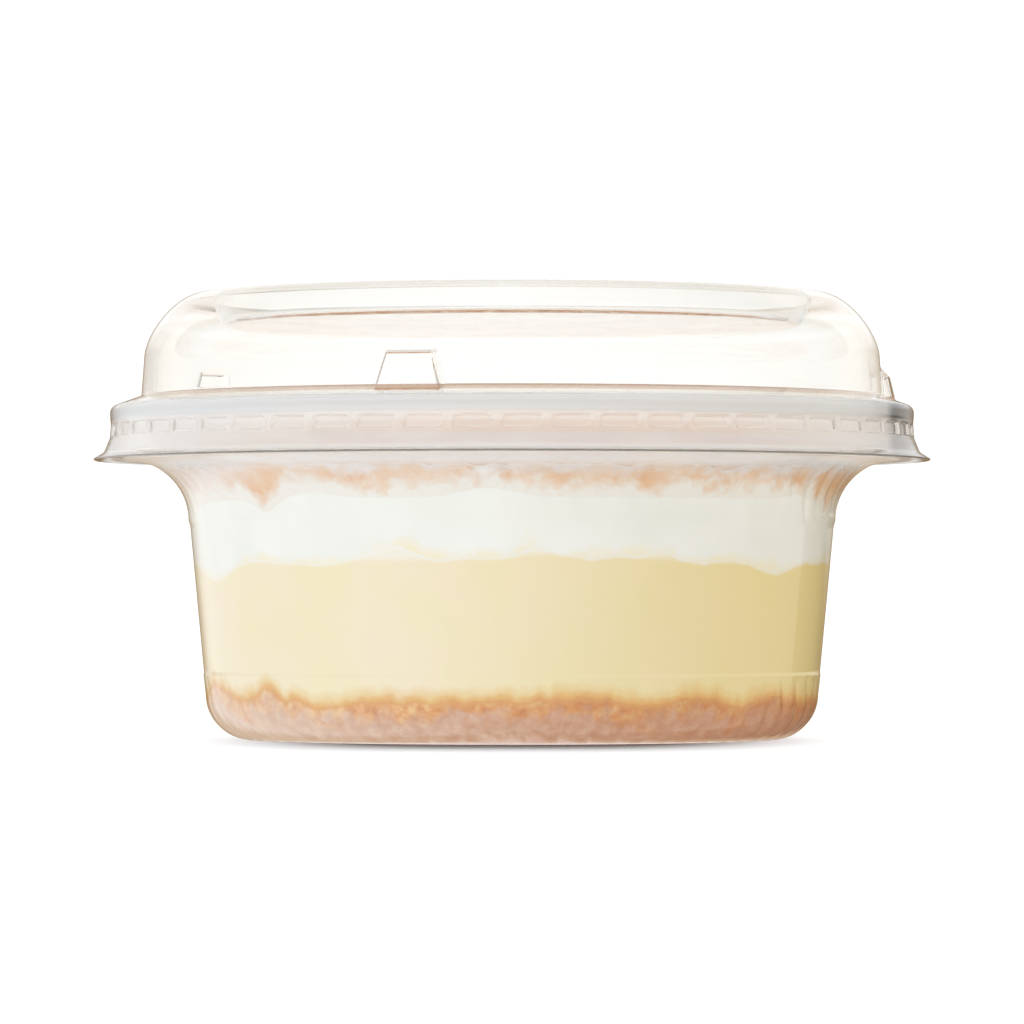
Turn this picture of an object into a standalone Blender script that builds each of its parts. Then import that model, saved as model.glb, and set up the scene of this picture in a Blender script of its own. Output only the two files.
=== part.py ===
"""Coconut cream pie layered in a clear dessert pot, under a clear press-on dome lid.

The origin is the middle of the foot, on the surface that the pot stands on. +Z is up and -Y is the
front. Sizes are in millimetres, heights count from the foot, and angles count from the front
towards +X. Every solid is made of level rings of points, joined ring by ring.
"""
import math
import random

import bmesh
import bpy
from mathutils import Matrix, Vector

MM = 0.001
FULL_TURN = 2 * math.pi

# Clearance between neighbouring pieces.
GAP = 0.3

# Pot: flat foot, round fluted corner, smooth band, fluted flare, upright wall and rolled rim.
POT_WALL = 0.5
CREST_TO_LINING = 0.7
CORNER_RADIUS = 5.2
CORNER_TOP_RADIUS = 35.4
BAND_BOTTOM_Z = 7.5
BAND_BOTTOM_RADIUS = 35.6
BAND_TOP_Z = 24.7
BAND_TOP_RADIUS = 37.2
BAND_INSET = 0.2
BAND_EDGE = 0.1
FLARE_RADIUS = 7.0
FLARE_BOTTOM_Z = 25.2
FLARE_BOTTOM_RADIUS = 37.4
COLLAR_RADIUS = 45.1
COLLAR_BOTTOM_Z = 32.7
BEAD_RADIUS = 0.62
BEAD_Z = 37.3
LINING_TOP_RISE = 0.6
CORNER_STEPS = (0, 30, 60, 90)
FLARE_STEPS = (22, 44, 66, 88)
LINING_FLARE_STEPS = (80, 40, 0)

# Flutes: saw-toothed ribs that swirl round the corner and up the flare.
CORNER_FLUTES = 60
FLARE_FLUTES = 72
FLUTE_DEPTH = 0.3
FLUTE_CREST = 0.75
FLUTE_FADE = 0.5
FLUTE_TURN = math.radians(0.5)
CORNER_FLUTE_START = math.radians(-1.3)
FLARE_FLUTE_START = math.radians(2.5)

# Lid: stacking recess, dome, ledge, shoulder, skirt with pressed lugs, and a drooping brim.
LID_WALL = 0.4
RECESS_RADIUS = 33.4
RECESS_Z = 48.1
CROWN_INNER_RADIUS = 34.6
CROWN_RADIUS = 36.5
CROWN_Z = 51.4
CROWN_DIP = 0.3
CROWN_SHARE = 0.7
RECESS_CORNER_SHARE = 0.4
FOOT_SHARE = 0.9
DOME_RADIUS = 42.5
DOME_SPRING_Z = 44.3
DOME_ROUNDNESS = 1.53
DOME_STEPS = (85, 55, 27, 0)
DOME_FOOT_RADIUS = 42.85
DOME_FOOT_Z = 39.6
SHOULDER_INNER_RADIUS = 45.5
SHOULDER_Z = 38.65
SHOULDER_BEVEL_WIDTH = 0.3
SHOULDER_BEVEL_DROP = 0.45
SKIRT_RADIUS = 46.5
SKIRT_TOP_Z = 37.4
LUG_TOP_Z = 36.6
LUG_BOTTOM_Z = 34.9
LUG_EDGE = 0.35
LUG_DEPTH = 0.4
LUG_BAND_INSET = 0.15
LUG_FOOT_STEP = 0.1
LUG_COUNT = 54
LUG_START = math.radians(-2.3)
SKIRT_BOTTOM_RADIUS = 47.1
SKIRT_BOTTOM_Z = 33.1
BRIM_RADIUS = 48.45
BRIM_Z = 32.3
BRIM_EDGE = 0.2
BRIM_LEAN = 0.1

# Three hollow stacking bosses at the foot of the dome, narrower at the top. Each has its own share
# of the full height.
BOSS_ANGLES = [math.radians(a) for a in (-14.5, 93.5, 237.5)]
BOSS_RISES = (1.0, 0.72, 0.92)
BOSS_FOOT_WIDTH = 7.3
BOSS_TOP_WIDTH = 5.7
BOSS_FOOT_RADIUS = 44.4
BOSS_FOOT_Z = 39.1
BOSS_TOP_RADIUS = 43.8
BOSS_TOP_Z = 43.0
BOSS_TOP_SHARE = 0.25
BOSS_ROOF_RISE = 0.35
BOSS_SIDE = 0.5
BOSS_CLEAR = math.radians(6.5)
BOSS_MARK = math.radians(0.1)

# Layers, by the height of their top at the wall.
CRUMB_TOP_Z = 5.3
CUSTARD_TOP_Z = 20.4
CREAM_TOP_Z = 28.4
TOPPING_WALL_Z = 31.0
TOPPING_HEAP_Z = 36.2

# Shape of a layer's surface: how fast its waves fade inwards, its ripple, and the heap's lumps.
WAVE_FADE = 3
LAYER_RIPPLE = 0.25
HEAP_ROUNDNESS = 3.2
HEAP_LUMP = 0.45

# Rises and dips of each layer where it meets the wall: angle and half width in degrees, height.
CRUMB_WAVES = [(-72, 7, 1.7), (-51, 4, 1.7), (-36, 5, -0.7), (9, 6, 0.5), (27, 3, -0.7),
               (37, 4, 0.6), (46, 3, -0.8), (57, 4, 0.4), (105, 9, 0.8), (150, 7, -0.6),
               (196, 10, 0.7), (240, 6, -0.5)]
CUSTARD_WAVES = [(-67, 9, -1.7), (-20.5, 4.5, 1.7), (8, 17, 0.6), (4, 2.5, 0.8), (27.5, 2.5, 1.2),
                 (55, 6, -1.1), (110, 10, 0.7), (148, 8, -0.9), (187, 9, 0.9), (232, 10, -0.6)]
CREAM_WAVES = [(-72, 6, -0.6), (-47.5, 3.5, -1.5), (-36, 5, 0.7), (-4, 6, 1.0), (58, 5, 0.5),
               (74, 6, -1.8), (120, 8, 0.9), (165, 9, -0.9), (210, 7, 0.8), (250, 8, -0.5)]
HEAP_WAVES = [(-40, 9, 0.6), (-4, 5, -0.3), (13, 8, -0.6), (26, 3, 1.0), (36, 4, -1.2),
              (44, 4, 0.3), (51, 4, -0.6), (100, 12, 0.7), (150, 9, -0.7), (200, 12, 0.6)]

# Points round the rings of each kind.
WALL_COLUMNS = 60
LID_COLUMNS = 54
DOME_COLUMNS = 48
FOOD_COLUMNS = 60
LAYER_RINGS = [(0.8, 30), (0.5, 16), (0.2, 8)]
HEAP_RINGS = [(0.9, 44), (0.74, 36), (0.56, 28), (0.38, 18), (0.2, 9)]

# Loose pieces fused on the topping: irregular crumbs and curled coconut flakes.
TOPPING_SEED = 11
HEAP_BUMP = 0.45
HEAP_BUMP_REACH = 0.95
CRUMB_COUNT = 40
CRUMB_SIZES = (1.5, 3.4)
LARGE_CRUMB = 2.4
CRUMB_REACH = 38.0
CRUMB_UNEVEN = (0.8, 1.2)
CRUMB_FLATNESS = 0.8
CRUMB_LIFT = 0.1
CRUMB_TILT = 1.0
SCRAP_SIDES = 5
SCRAP_FOOT = 0.6
SCRAP_TOP = 0.35
FLAKE_COUNT = 21
FLAKE_LENGTHS = (5.0, 8.5)
FLAKE_WIDTHS = (1.6, 2.8)
FLAKE_CURLS = (0.3, 0.9)
FLAKE_THICKNESS = 0.45
FLAKE_TAPER = 0.45
FLAKE_SECTIONS = (-1, -0.35, 0.35, 1)
FLAKE_REACH = 33.5
FLAKE_LIFT = 0.2
FLAKE_TILT = 0.15


def clear_scene():
    """Take away whatever objects the scene has."""
    for old in list(bpy.data.objects):
        bpy.data.objects.remove(old, do_unlink=True)


def material(name, colour, roughness, transmission=0.0):
    """A Principled material of one colour."""
    made = bpy.data.materials.new(name)
    made.use_nodes = True
    shader = made.node_tree.nodes["Principled BSDF"]
    shader.inputs["Base Color"].default_value = (*colour, 1.0)
    shader.inputs["Roughness"].default_value = roughness
    shader.inputs["Metallic"].default_value = 0.0
    shader.inputs["Transmission Weight"].default_value = transmission
    made.diffuse_color = (*colour, 1.0)
    return made


def place(radius, angle, height):
    """The point, in metres, at this radius, angle and height in millimetres."""
    return Vector((radius * math.sin(angle), -radius * math.cos(angle), height)) * MM


def even_angles(count, start=0.0):
    """Angles spread evenly round the axis."""
    return [start + FULL_TURN * i / count for i in range(count)]


def add_ring(bm, angles, where):
    """A ring of vertices. where(angle) gives each one's radius, height and final angle."""
    ring = []
    for angle in angles:
        radius, height, turned = where(angle)
        ring.append((turned, bm.verts.new(place(radius, turned, height))))
    return ring


def plain_ring(bm, count, radius, height):
    """A round, level ring."""
    return add_ring(bm, even_angles(count), lambda angle: (radius, height, angle))


def turned_off(angle, origin):
    """The angle from origin, between minus and plus half a turn."""
    return (angle - origin + math.pi) % FULL_TURN - math.pi


def unrolled(ring, origin):
    """The ring from the vertex nearest the origin angle, with angles that only grow."""
    first = min(range(len(ring)), key=lambda i: abs(turned_off(ring[i][0], origin)))
    out = []
    for step in range(len(ring) + 1):
        angle, vertex = ring[(first + step) % len(ring)]
        angle = origin + turned_off(angle, origin)
        while out and angle <= out[-1][0]:
            angle += FULL_TURN
        out.append((angle, vertex))
    return out


def join_even(bm, one, other):
    """Triangles between two rings with the same number of points, each joined to its like."""
    count = len(one)
    for i in range(count):
        k = (i + 1) % count
        bm.faces.new((one[i][1], one[k][1], other[k][1]))
        bm.faces.new((one[i][1], other[k][1], other[i][1]))


def join(bm, one, other):
    """Triangles between two rings with different numbers of points, in the order of angle."""
    one = unrolled(one, one[0][0])
    other = unrolled(other, one[0][0])
    i = 0
    j = 0
    while i < len(one) - 1 or j < len(other) - 1:
        at_end = j == len(other) - 1
        if at_end or (i < len(one) - 1 and one[i + 1][0] <= other[j + 1][0]):
            bm.faces.new((one[i][1], one[i + 1][1], other[j][1]))
            i += 1
        else:
            bm.faces.new((one[i][1], other[j + 1][1], other[j][1]))
            j += 1


def join_all(bm, rings):
    """Join each ring to the next."""
    for one, other in zip(rings, rings[1:]):
        if len(one) == len(other):
            join_even(bm, one, other)
        else:
            join(bm, one, other)


def cap(bm, ring):
    """A flat face across a ring."""
    bm.faces.new([vertex for _, vertex in ring])


def fan(bm, ring, height):
    """Close a ring with triangles to a middle point."""
    middle = bm.verts.new(place(0, 0, height))
    for (_, one), (_, other) in zip(ring, ring[1:] + ring[:1]):
        bm.faces.new((one, other, middle))


def finish_object(name, bm, look, sharp_degrees=30):
    """Turn the mesh into a named object with its material, shaded smooth but for its edges."""
    bmesh.ops.recalc_face_normals(bm, faces=bm.faces)
    mesh = bpy.data.meshes.new(name)
    bm.to_mesh(mesh)
    bm.free()
    mesh.materials.append(look)
    mesh.shade_smooth()
    mesh.set_sharp_from_angle(angle=math.radians(sharp_degrees))
    made = bpy.data.objects.new(name, mesh)
    bpy.context.scene.collection.objects.link(made)
    return made


def mixed(start, end, share):
    """The value that lies this share of the way from start to end."""
    return start + (end - start) * share


# ---------------------------------------------------------------- pot

def band_radius(height):
    """Outer radius of the pot's smooth, tapering band."""
    share = (height - BAND_BOTTOM_Z) / (BAND_TOP_Z - BAND_BOTTOM_Z)
    return mixed(BAND_BOTTOM_RADIUS, BAND_TOP_RADIUS, share)


def flute_angles(count, start):
    """Two angles for each flute: its valley, and its crest just before the next valley."""
    pitch = FULL_TURN / count
    angles = []
    for i in range(count):
        angles.append(start + i * pitch)
        angles.append(start + (i + FLUTE_CREST) * pitch)
    return angles


def fluted_ring(bm, count, start, crest, normal, depth, run):
    """A ring across the flutes, through the crest's radius and height. Valleys are cut in
    against the normal, and all is turned with the run, the length from the smooth band."""
    angles = flute_angles(count, start)
    valleys = set(angles[0::2])
    turn = FLUTE_TURN * run

    def where(angle):
        cut = depth if angle in valleys else 0.0
        return crest[0] - cut * normal[0], crest[1] - cut * normal[1], angle + turn

    return add_ring(bm, angles, where)


def corner_place(turn, inset):
    """Radius and height on the corner's arc, this angle up from the foot and this far inside."""
    reach = CORNER_RADIUS - inset
    return (CORNER_TOP_RADIUS - CORNER_RADIUS + reach * math.sin(turn),
            CORNER_RADIUS - reach * math.cos(turn))


def corner_rings(bm):
    """The fluted corner, from the foot's edge up to the smooth band."""
    wall_run = BAND_BOTTOM_Z - CORNER_RADIUS
    rings = []
    for degrees in CORNER_STEPS:
        turn = math.radians(degrees)
        normal = (math.sin(turn), -math.cos(turn))
        run = wall_run + CORNER_RADIUS * (math.pi / 2 - turn)
        depth = FLUTE_DEPTH * math.sin(turn) ** FLUTE_FADE
        rings.append(fluted_ring(bm, CORNER_FLUTES, CORNER_FLUTE_START, corner_place(turn, 0),
                                 normal, depth, run))
    crest = (BAND_BOTTOM_RADIUS + BAND_INSET, BAND_BOTTOM_Z)
    rings.append(fluted_ring(bm, CORNER_FLUTES, CORNER_FLUTE_START, crest, (1, 0),
                             FLUTE_DEPTH, 0))
    return rings


def flare_place(turn, inset):
    """Radius and height on the flare's arc, this angle up from its foot and this far inside."""
    reach = FLARE_RADIUS + inset
    return (FLARE_BOTTOM_RADIUS + FLARE_RADIUS - reach * math.cos(turn),
            FLARE_BOTTOM_Z + reach * math.sin(turn))


def flare_rings(bm):
    """The fluted flare, from the smooth band out to the collar."""
    crest = (BAND_TOP_RADIUS + BAND_INSET, BAND_TOP_Z + BAND_EDGE)
    rings = [fluted_ring(bm, FLARE_FLUTES, FLARE_FLUTE_START, crest, (1, 0), FLUTE_DEPTH, 0)]
    for degrees in FLARE_STEPS:
        turn = math.radians(degrees)
        normal = (math.cos(turn), -math.sin(turn))
        run = -FLARE_RADIUS * turn
        rings.append(fluted_ring(bm, FLARE_FLUTES, FLARE_FLUTE_START, flare_place(turn, 0),
                                 normal, FLUTE_DEPTH, run))
    return rings


def bore_radius(height, clearance):
    """Radius of the pot's inside at this height, this far clear of its lining."""
    inset = CREST_TO_LINING + clearance
    if height < CORNER_RADIUS:
        drop = min(CORNER_RADIUS - height, CORNER_RADIUS - inset)
        return corner_place(math.acos(drop / (CORNER_RADIUS - inset)), inset)[0]
    if height > FLARE_BOTTOM_Z:
        rise = min(height - FLARE_BOTTOM_Z, FLARE_RADIUS + inset)
        return flare_place(math.asin(rise / (FLARE_RADIUS + inset)), inset)[0]
    share = (height - CORNER_RADIUS) / (FLARE_BOTTOM_Z - CORNER_RADIUS)
    return mixed(CORNER_TOP_RADIUS, FLARE_BOTTOM_RADIUS, share) - inset


def rim_rings(bm):
    """Collar and rolled rim, from the flare's edge over the top to the collar's inside."""
    rings = [plain_ring(bm, WALL_COLUMNS, COLLAR_RADIUS, COLLAR_BOTTOM_Z),
             plain_ring(bm, WALL_COLUMNS, COLLAR_RADIUS, BEAD_Z - BEAD_RADIUS)]
    for degrees in (0, 90, 180):
        turn = math.radians(degrees)
        rings.append(plain_ring(bm, WALL_COLUMNS, COLLAR_RADIUS + BEAD_RADIUS * math.cos(turn),
                                BEAD_Z + BEAD_RADIUS * math.sin(turn)))
    return rings


def lining_rings(bm):
    """The pot's inside, from the top of the flare down to its floor."""
    top = COLLAR_BOTTOM_Z + LINING_TOP_RISE
    rings = [plain_ring(bm, WALL_COLUMNS, COLLAR_RADIUS - POT_WALL, top)]
    for degrees in LINING_FLARE_STEPS:
        rings.append(plain_ring(bm, WALL_COLUMNS,
                                *flare_place(math.radians(degrees), CREST_TO_LINING)))
    for degrees in reversed(CORNER_STEPS):
        rings.append(plain_ring(bm, WALL_COLUMNS,
                                *corner_place(math.radians(degrees), CREST_TO_LINING)))
    return rings


def make_pot(look):
    """The clear pot: one thin shell, fluted outside."""
    bm = bmesh.new()
    rings = corner_rings(bm)
    for height in (BAND_BOTTOM_Z + BAND_EDGE, BAND_TOP_Z):
        rings.append(plain_ring(bm, WALL_COLUMNS, band_radius(height), height))
    rings += flare_rings(bm)
    rings += rim_rings(bm)
    rings += lining_rings(bm)
    cap(bm, rings[0])
    join_all(bm, rings)
    cap(bm, rings[-1])
    return finish_object("pot", bm, look, sharp_degrees=25)


# ---------------------------------------------------------------- lid

def dome_angles():
    """Even angles round the dome, but for each boss: its two sides, each twice, and its middle."""
    angles = [a for a in even_angles(DOME_COLUMNS)
              if all(abs(turned_off(a, boss)) > BOSS_CLEAR for boss in BOSS_ANGLES)]
    for boss in BOSS_ANGLES:
        angles += [boss + i * BOSS_MARK for i in (-2, -1, 0, 1, 2)]
    return sorted(a % FULL_TURN for a in angles)


def boss_place(angle, half_width, side, radius):
    """Where the five angles of a boss go at a ring: its final angle, or None off the bosses, and
    the boss's share of the full height, or 0 beside its raised face."""
    for boss, rise in zip(BOSS_ANGLES, BOSS_RISES):
        step = round(turned_off(angle, boss) / BOSS_MARK)
        if abs(step) <= 2:
            reach = {0: 0.0, 1: half_width, 2: half_width + side}[abs(step)]
            return boss + math.copysign(reach / radius, step), rise if abs(step) < 2 else 0
    return None, 0


def dome_ring(bm, radius, height, half_width=None, boss_radius=None, boss_height=None,
              side=BOSS_SIDE):
    """A ring round the dome. Where it crosses the bosses, their faces go to their own radius."""
    def where(angle):
        width = BOSS_FOOT_WIDTH / 2 if half_width is None else half_width
        turned, rise = boss_place(angle, width, side, DOME_RADIUS)
        if turned is None:
            return radius, height, angle
        if rise and boss_radius is not None:
            return boss_radius, mixed(BOSS_FOOT_Z, boss_height, rise), turned
        return radius, height, turned

    return add_ring(bm, dome_angles(), where)


def dome_rings(bm, inset):
    """The dome, from the recess's floor out to the shoulder, this far inside the outer face."""
    rings = [dome_ring(bm, RECESS_RADIUS + inset * RECESS_CORNER_SHARE, RECESS_Z - inset),
             dome_ring(bm, CROWN_INNER_RADIUS + inset, CROWN_Z - CROWN_DIP - inset)]
    power = 2 / DOME_ROUNDNESS
    base = CROWN_RADIUS - inset * CROWN_SHARE
    across = DOME_RADIUS - inset - base
    rise = CROWN_Z - DOME_SPRING_Z - inset
    for degrees in DOME_STEPS:
        turn = math.radians(degrees)
        rings.append(dome_ring(bm, base + across * math.cos(turn) ** power,
                               DOME_SPRING_Z + rise * math.sin(turn) ** power))
    wall = mixed(DOME_RADIUS, DOME_FOOT_RADIUS, BOSS_TOP_SHARE) - inset
    drop = inset * FOOT_SHARE
    half_top = BOSS_TOP_WIDTH / 2 - inset
    half_foot = BOSS_FOOT_WIDTH / 2 - inset
    roof = BOSS_TOP_Z + BOSS_ROOF_RISE - inset
    rings.append(dome_ring(bm, wall, roof, half_top, wall, roof))
    rings.append(dome_ring(bm, wall, BOSS_TOP_Z - inset, half_top,
                           BOSS_TOP_RADIUS - inset, BOSS_TOP_Z - inset))
    rings.append(dome_ring(bm, DOME_FOOT_RADIUS - inset, DOME_FOOT_Z - drop, half_foot,
                           BOSS_FOOT_RADIUS - inset, BOSS_FOOT_Z - drop))
    return rings


def lug_ring(bm, radius, height, depth):
    """A ring across the lugs: each is pressed in, between ridges that stay out."""
    angles = flute_angles(LUG_COUNT, LUG_START)
    pressed = set(angles[0::2])
    return add_ring(bm, angles, lambda a: (radius - (depth if a in pressed else 0.0), height, a))


def skirt_rings(bm):
    """Shoulder, lugs, skirt and brim outside, then back up inside to the shoulder."""
    bevel = (SKIRT_RADIUS - SHOULDER_BEVEL_WIDTH, SHOULDER_Z - SHOULDER_BEVEL_DROP)
    outside = [(SHOULDER_INNER_RADIUS, SHOULDER_Z), bevel, (SKIRT_RADIUS, SKIRT_TOP_Z)]
    rings = [plain_ring(bm, LID_COLUMNS, r, z) for r, z in outside]
    lug_radius = SKIRT_RADIUS - LUG_BAND_INSET
    rings.append(lug_ring(bm, SKIRT_RADIUS, LUG_TOP_Z, 0.0))
    rings.append(lug_ring(bm, lug_radius, LUG_TOP_Z - LUG_EDGE, LUG_DEPTH))
    rings.append(lug_ring(bm, lug_radius, LUG_BOTTOM_Z + LUG_EDGE, LUG_DEPTH))
    rings.append(lug_ring(bm, lug_radius + LUG_FOOT_STEP, LUG_BOTTOM_Z, 0.0))
    lug_inside = lug_radius - LUG_DEPTH - LID_WALL
    brim_and_inside = [(SKIRT_BOTTOM_RADIUS, SKIRT_BOTTOM_Z), (BRIM_RADIUS, BRIM_Z),
                       (BRIM_RADIUS - BRIM_LEAN, BRIM_Z - BRIM_EDGE),
                       (SKIRT_BOTTOM_RADIUS - LID_WALL, SKIRT_BOTTOM_Z - LID_WALL),
                       (lug_inside, LUG_BOTTOM_Z), (lug_inside, LUG_TOP_Z - LUG_EDGE),
                       (SKIRT_RADIUS - LID_WALL, LUG_TOP_Z + LUG_EDGE),
                       (SKIRT_RADIUS - LID_WALL, SKIRT_TOP_Z),
                       (SHOULDER_INNER_RADIUS - LUG_FOOT_STEP, SHOULDER_Z - LID_WALL)]
    rings += [plain_ring(bm, LID_COLUMNS, r, z) for r, z in brim_and_inside]
    return rings


def make_lid(look):
    """The clear dome lid: one thin shell, open below."""
    bm = bmesh.new()
    rings = dome_rings(bm, 0)
    rings += skirt_rings(bm)
    rings += reversed(dome_rings(bm, LID_WALL))
    cap(bm, rings[0])
    join_all(bm, rings)
    cap(bm, rings[-1])
    return finish_object("lid", bm, look, sharp_degrees=25)


# ---------------------------------------------------------------- food

def food_radius(height):
    """How far out the food reaches at this height."""
    return bore_radius(height, GAP)


def swell(angle, waves):
    """Height that the waves of a layer add at this angle."""
    total = 0.0
    for degrees, half_width, rise in waves:
        off = math.degrees(turned_off(angle, math.radians(degrees))) / half_width
        total += rise * math.exp(-off * off)
    return total


def layer_height(level, waves, share, angle):
    """Height of a layer's top, at this share of the way from the middle to the wall."""
    ripple = LAYER_RIPPLE * math.sin(3 * angle + 1) * share * (1 - share)
    return level + swell(angle, waves) * share ** WAVE_FADE + ripple


def heap_height(share, angle):
    """Height of the topping's heap, low at the wall and round on top."""
    heap = (TOPPING_HEAP_Z - TOPPING_WALL_Z) * (1 - share ** HEAP_ROUNDNESS)
    lumps = HEAP_LUMP * math.sin(5 * angle + 4 * share) * math.sin(7 * share + 2 * angle)
    edge = swell(angle, HEAP_WAVES) * share ** WAVE_FADE
    return TOPPING_WALL_Z + heap + edge + lumps * (1 - share)


def sheet_rings(bm, height_at, lift, steps):
    """Rings from the wall to near the middle, at the heights of a layer's surface."""
    edge = add_ring(bm, even_angles(FOOD_COLUMNS), lambda a: (
        food_radius(height_at(1, a) + lift), height_at(1, a) + lift, a))
    rings = [edge]
    for share, count in steps:
        reach = food_radius(height_at(1, 0)) * share
        rings.append(add_ring(bm, even_angles(count),
                              lambda a, s=share, r=reach: (r, height_at(s, a) + lift, a)))
    return rings


def side_ring(bm, low, high, share):
    """A ring on the wall between a layer's bottom edge and its top edge."""
    def where(angle):
        height = mixed(low(1, angle) + GAP, high(1, angle), share)
        return food_radius(height), height, angle

    return add_ring(bm, even_angles(FOOD_COLUMNS), where)


def add_sheet(bm, height_at, lift, steps=LAYER_RINGS):
    """A layer's whole surface, this far above its given heights. Returns the ring at the wall."""
    rings = sheet_rings(bm, height_at, lift, steps)
    join_all(bm, rings)
    fan(bm, rings[-1], height_at(0, 0) + lift)
    return rings[0]


def layer_mesh(low, high, side_shares, top_steps=LAYER_RINGS):
    """A layer that fills the pot between two surfaces."""
    bm = bmesh.new()
    bottom = add_sheet(bm, low, GAP)
    sides = [side_ring(bm, low, high, share) for share in side_shares]
    top = add_sheet(bm, high, 0, top_steps)
    join_all(bm, [bottom, *sides, top])
    return bm


def crumb_top(share, angle):
    """Top of the crumb base."""
    return layer_height(CRUMB_TOP_Z, CRUMB_WAVES, share, angle)


def custard_top(share, angle):
    """Top of the custard."""
    return layer_height(CUSTARD_TOP_Z, CUSTARD_WAVES, share, angle)


def cream_top(share, angle):
    """Top of the cream."""
    return layer_height(CREAM_TOP_Z, CREAM_WAVES, share, angle)


def make_crumb_base(look):
    """Crumbs pressed flat on the pot's floor, uneven on top."""
    bm = bmesh.new()
    rings = []
    for degrees in (0, 30, 60):
        spot = corner_place(math.radians(degrees), CREST_TO_LINING + GAP)
        rings.append(plain_ring(bm, FOOD_COLUMNS, *spot))
    cap(bm, rings[0])
    join_all(bm, [*rings, add_sheet(bm, crumb_top, 0)])
    return finish_object("crumb_base", bm, look)


def crumb_mesh(bm, draw, size):
    """An irregular crumb round the origin of bm: many-sided if large, or a few-sided scrap."""
    if size > LARGE_CRUMB:
        made = bmesh.ops.create_icosphere(bm, subdivisions=1, radius=size / 2 * MM)["verts"]
    else:
        made = bmesh.ops.create_cone(bm, cap_ends=True, cap_tris=True, segments=SCRAP_SIDES,
                                     depth=size * MM, radius1=size * SCRAP_FOOT * MM,
                                     radius2=size * SCRAP_TOP * MM)["verts"]
    for vertex in made:
        vertex.co *= draw.uniform(*CRUMB_UNEVEN)
        vertex.co.z *= CRUMB_FLATNESS


def flake_mesh(bm, draw):
    """A curled coconut flake round the origin of bm, along X and widest in the middle."""
    length = draw.uniform(*FLAKE_LENGTHS)
    width = draw.uniform(*FLAKE_WIDTHS)
    curl = draw.uniform(*FLAKE_CURLS)
    thick = FLAKE_THICKNESS / 2
    loops = []
    for share in FLAKE_SECTIONS:
        half = width / 2 * (1 - FLAKE_TAPER * share * share)
        lift = curl * share * share
        loops.append([bm.verts.new(Vector((share * length / 2, y, z + lift)) * MM)
                      for y, z in ((-half, -thick), (half, -thick), (half, thick), (-half, thick))])
    for one, other in zip(loops, loops[1:]):
        for i in range(4):
            k = (i + 1) % 4
            bm.faces.new((one[i], one[k], other[k], other[i]))
    bm.faces.new(loops[0][::-1])
    bm.faces.new(loops[-1])
    bmesh.ops.recalc_face_normals(bm, faces=bm.faces)


def heap_point(radius, angle):
    """The point on the topping's heap at this radius and angle."""
    return place(radius, angle, heap_height(radius / food_radius(TOPPING_WALL_Z), angle))


def heap_tilt(radius, angle):
    """The turn from upright to the heap's slope at this radius and angle."""
    step = 0.5
    outward = heap_point(radius + step, angle) - heap_point(radius - step, angle)
    around = heap_point(radius, angle + step / radius) - heap_point(radius, angle - step / radius)
    return Vector((0, 0, 1)).rotation_difference(outward.cross(around)).to_matrix().to_4x4()


def piece_object(name, bm, spot, lift, tilt, spin):
    """A loose piece of topping, lying on the heap's slope at its spot, this far out of it."""
    radius, angle = spot
    turn = heap_tilt(radius, angle) @ Matrix.Rotation(spin, 4, "Z") @ Matrix.Rotation(tilt, 4, "Y")
    shift = Matrix.Translation(heap_point(radius, angle) + Vector((0, 0, lift * MM)))
    bm.transform(shift @ turn)
    mesh = bpy.data.meshes.new(name)
    bm.to_mesh(mesh)
    bm.free()
    return bpy.data.objects.new(name, mesh)


def spiral_spots(count, reach, start):
    """Radius and angle of spots spread evenly over a disc, along a golden spiral."""
    golden = math.pi * (3 - math.sqrt(5))
    return [(reach * math.sqrt((i + 0.6) / count), start + i * golden) for i in range(count)]


def topping_pieces():
    """Crumbs and flakes spread evenly over the heap."""
    draw = random.Random(TOPPING_SEED)
    pieces = []
    for i, spot in enumerate(spiral_spots(FLAKE_COUNT, FLAKE_REACH, 0.4)):
        bm = bmesh.new()
        flake_mesh(bm, draw)
        tilt = draw.uniform(-FLAKE_TILT, FLAKE_TILT)
        spin = draw.uniform(0, FULL_TURN)
        pieces.append(piece_object(f"flake_{i}", bm, spot, FLAKE_LIFT, tilt, spin))
    spots = spiral_spots(CRUMB_COUNT, CRUMB_REACH, 0)
    draw.shuffle(spots)
    for i, spot in enumerate(spots):
        bm = bmesh.new()
        size = mixed(CRUMB_SIZES[1], CRUMB_SIZES[0], i / CRUMB_COUNT)
        crumb_mesh(bm, draw, size)
        tilt = draw.uniform(-CRUMB_TILT, CRUMB_TILT)
        spin = draw.uniform(0, FULL_TURN)
        pieces.append(piece_object(f"crumb_{i}", bm, spot, size * CRUMB_LIFT, tilt, spin))
    return pieces


def fuse(target, pieces):
    """Join the pieces to the target by one Boolean union, applied."""
    group = bpy.data.collections.new("topping_pieces")
    for piece in pieces:
        group.objects.link(piece)
    union = target.modifiers.new("fuse", "BOOLEAN")
    union.operation = "UNION"
    union.operand_type = "COLLECTION"
    union.collection = group
    union.solver = "EXACT"
    bpy.context.view_layer.update()
    view = bpy.context.evaluated_depsgraph_get()
    fused = bpy.data.meshes.new_from_object(target.evaluated_get(view))
    target.modifiers.remove(union)
    target.data = fused
    for piece in pieces:
        bpy.data.objects.remove(piece, do_unlink=True)
    bpy.data.collections.remove(group)


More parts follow.
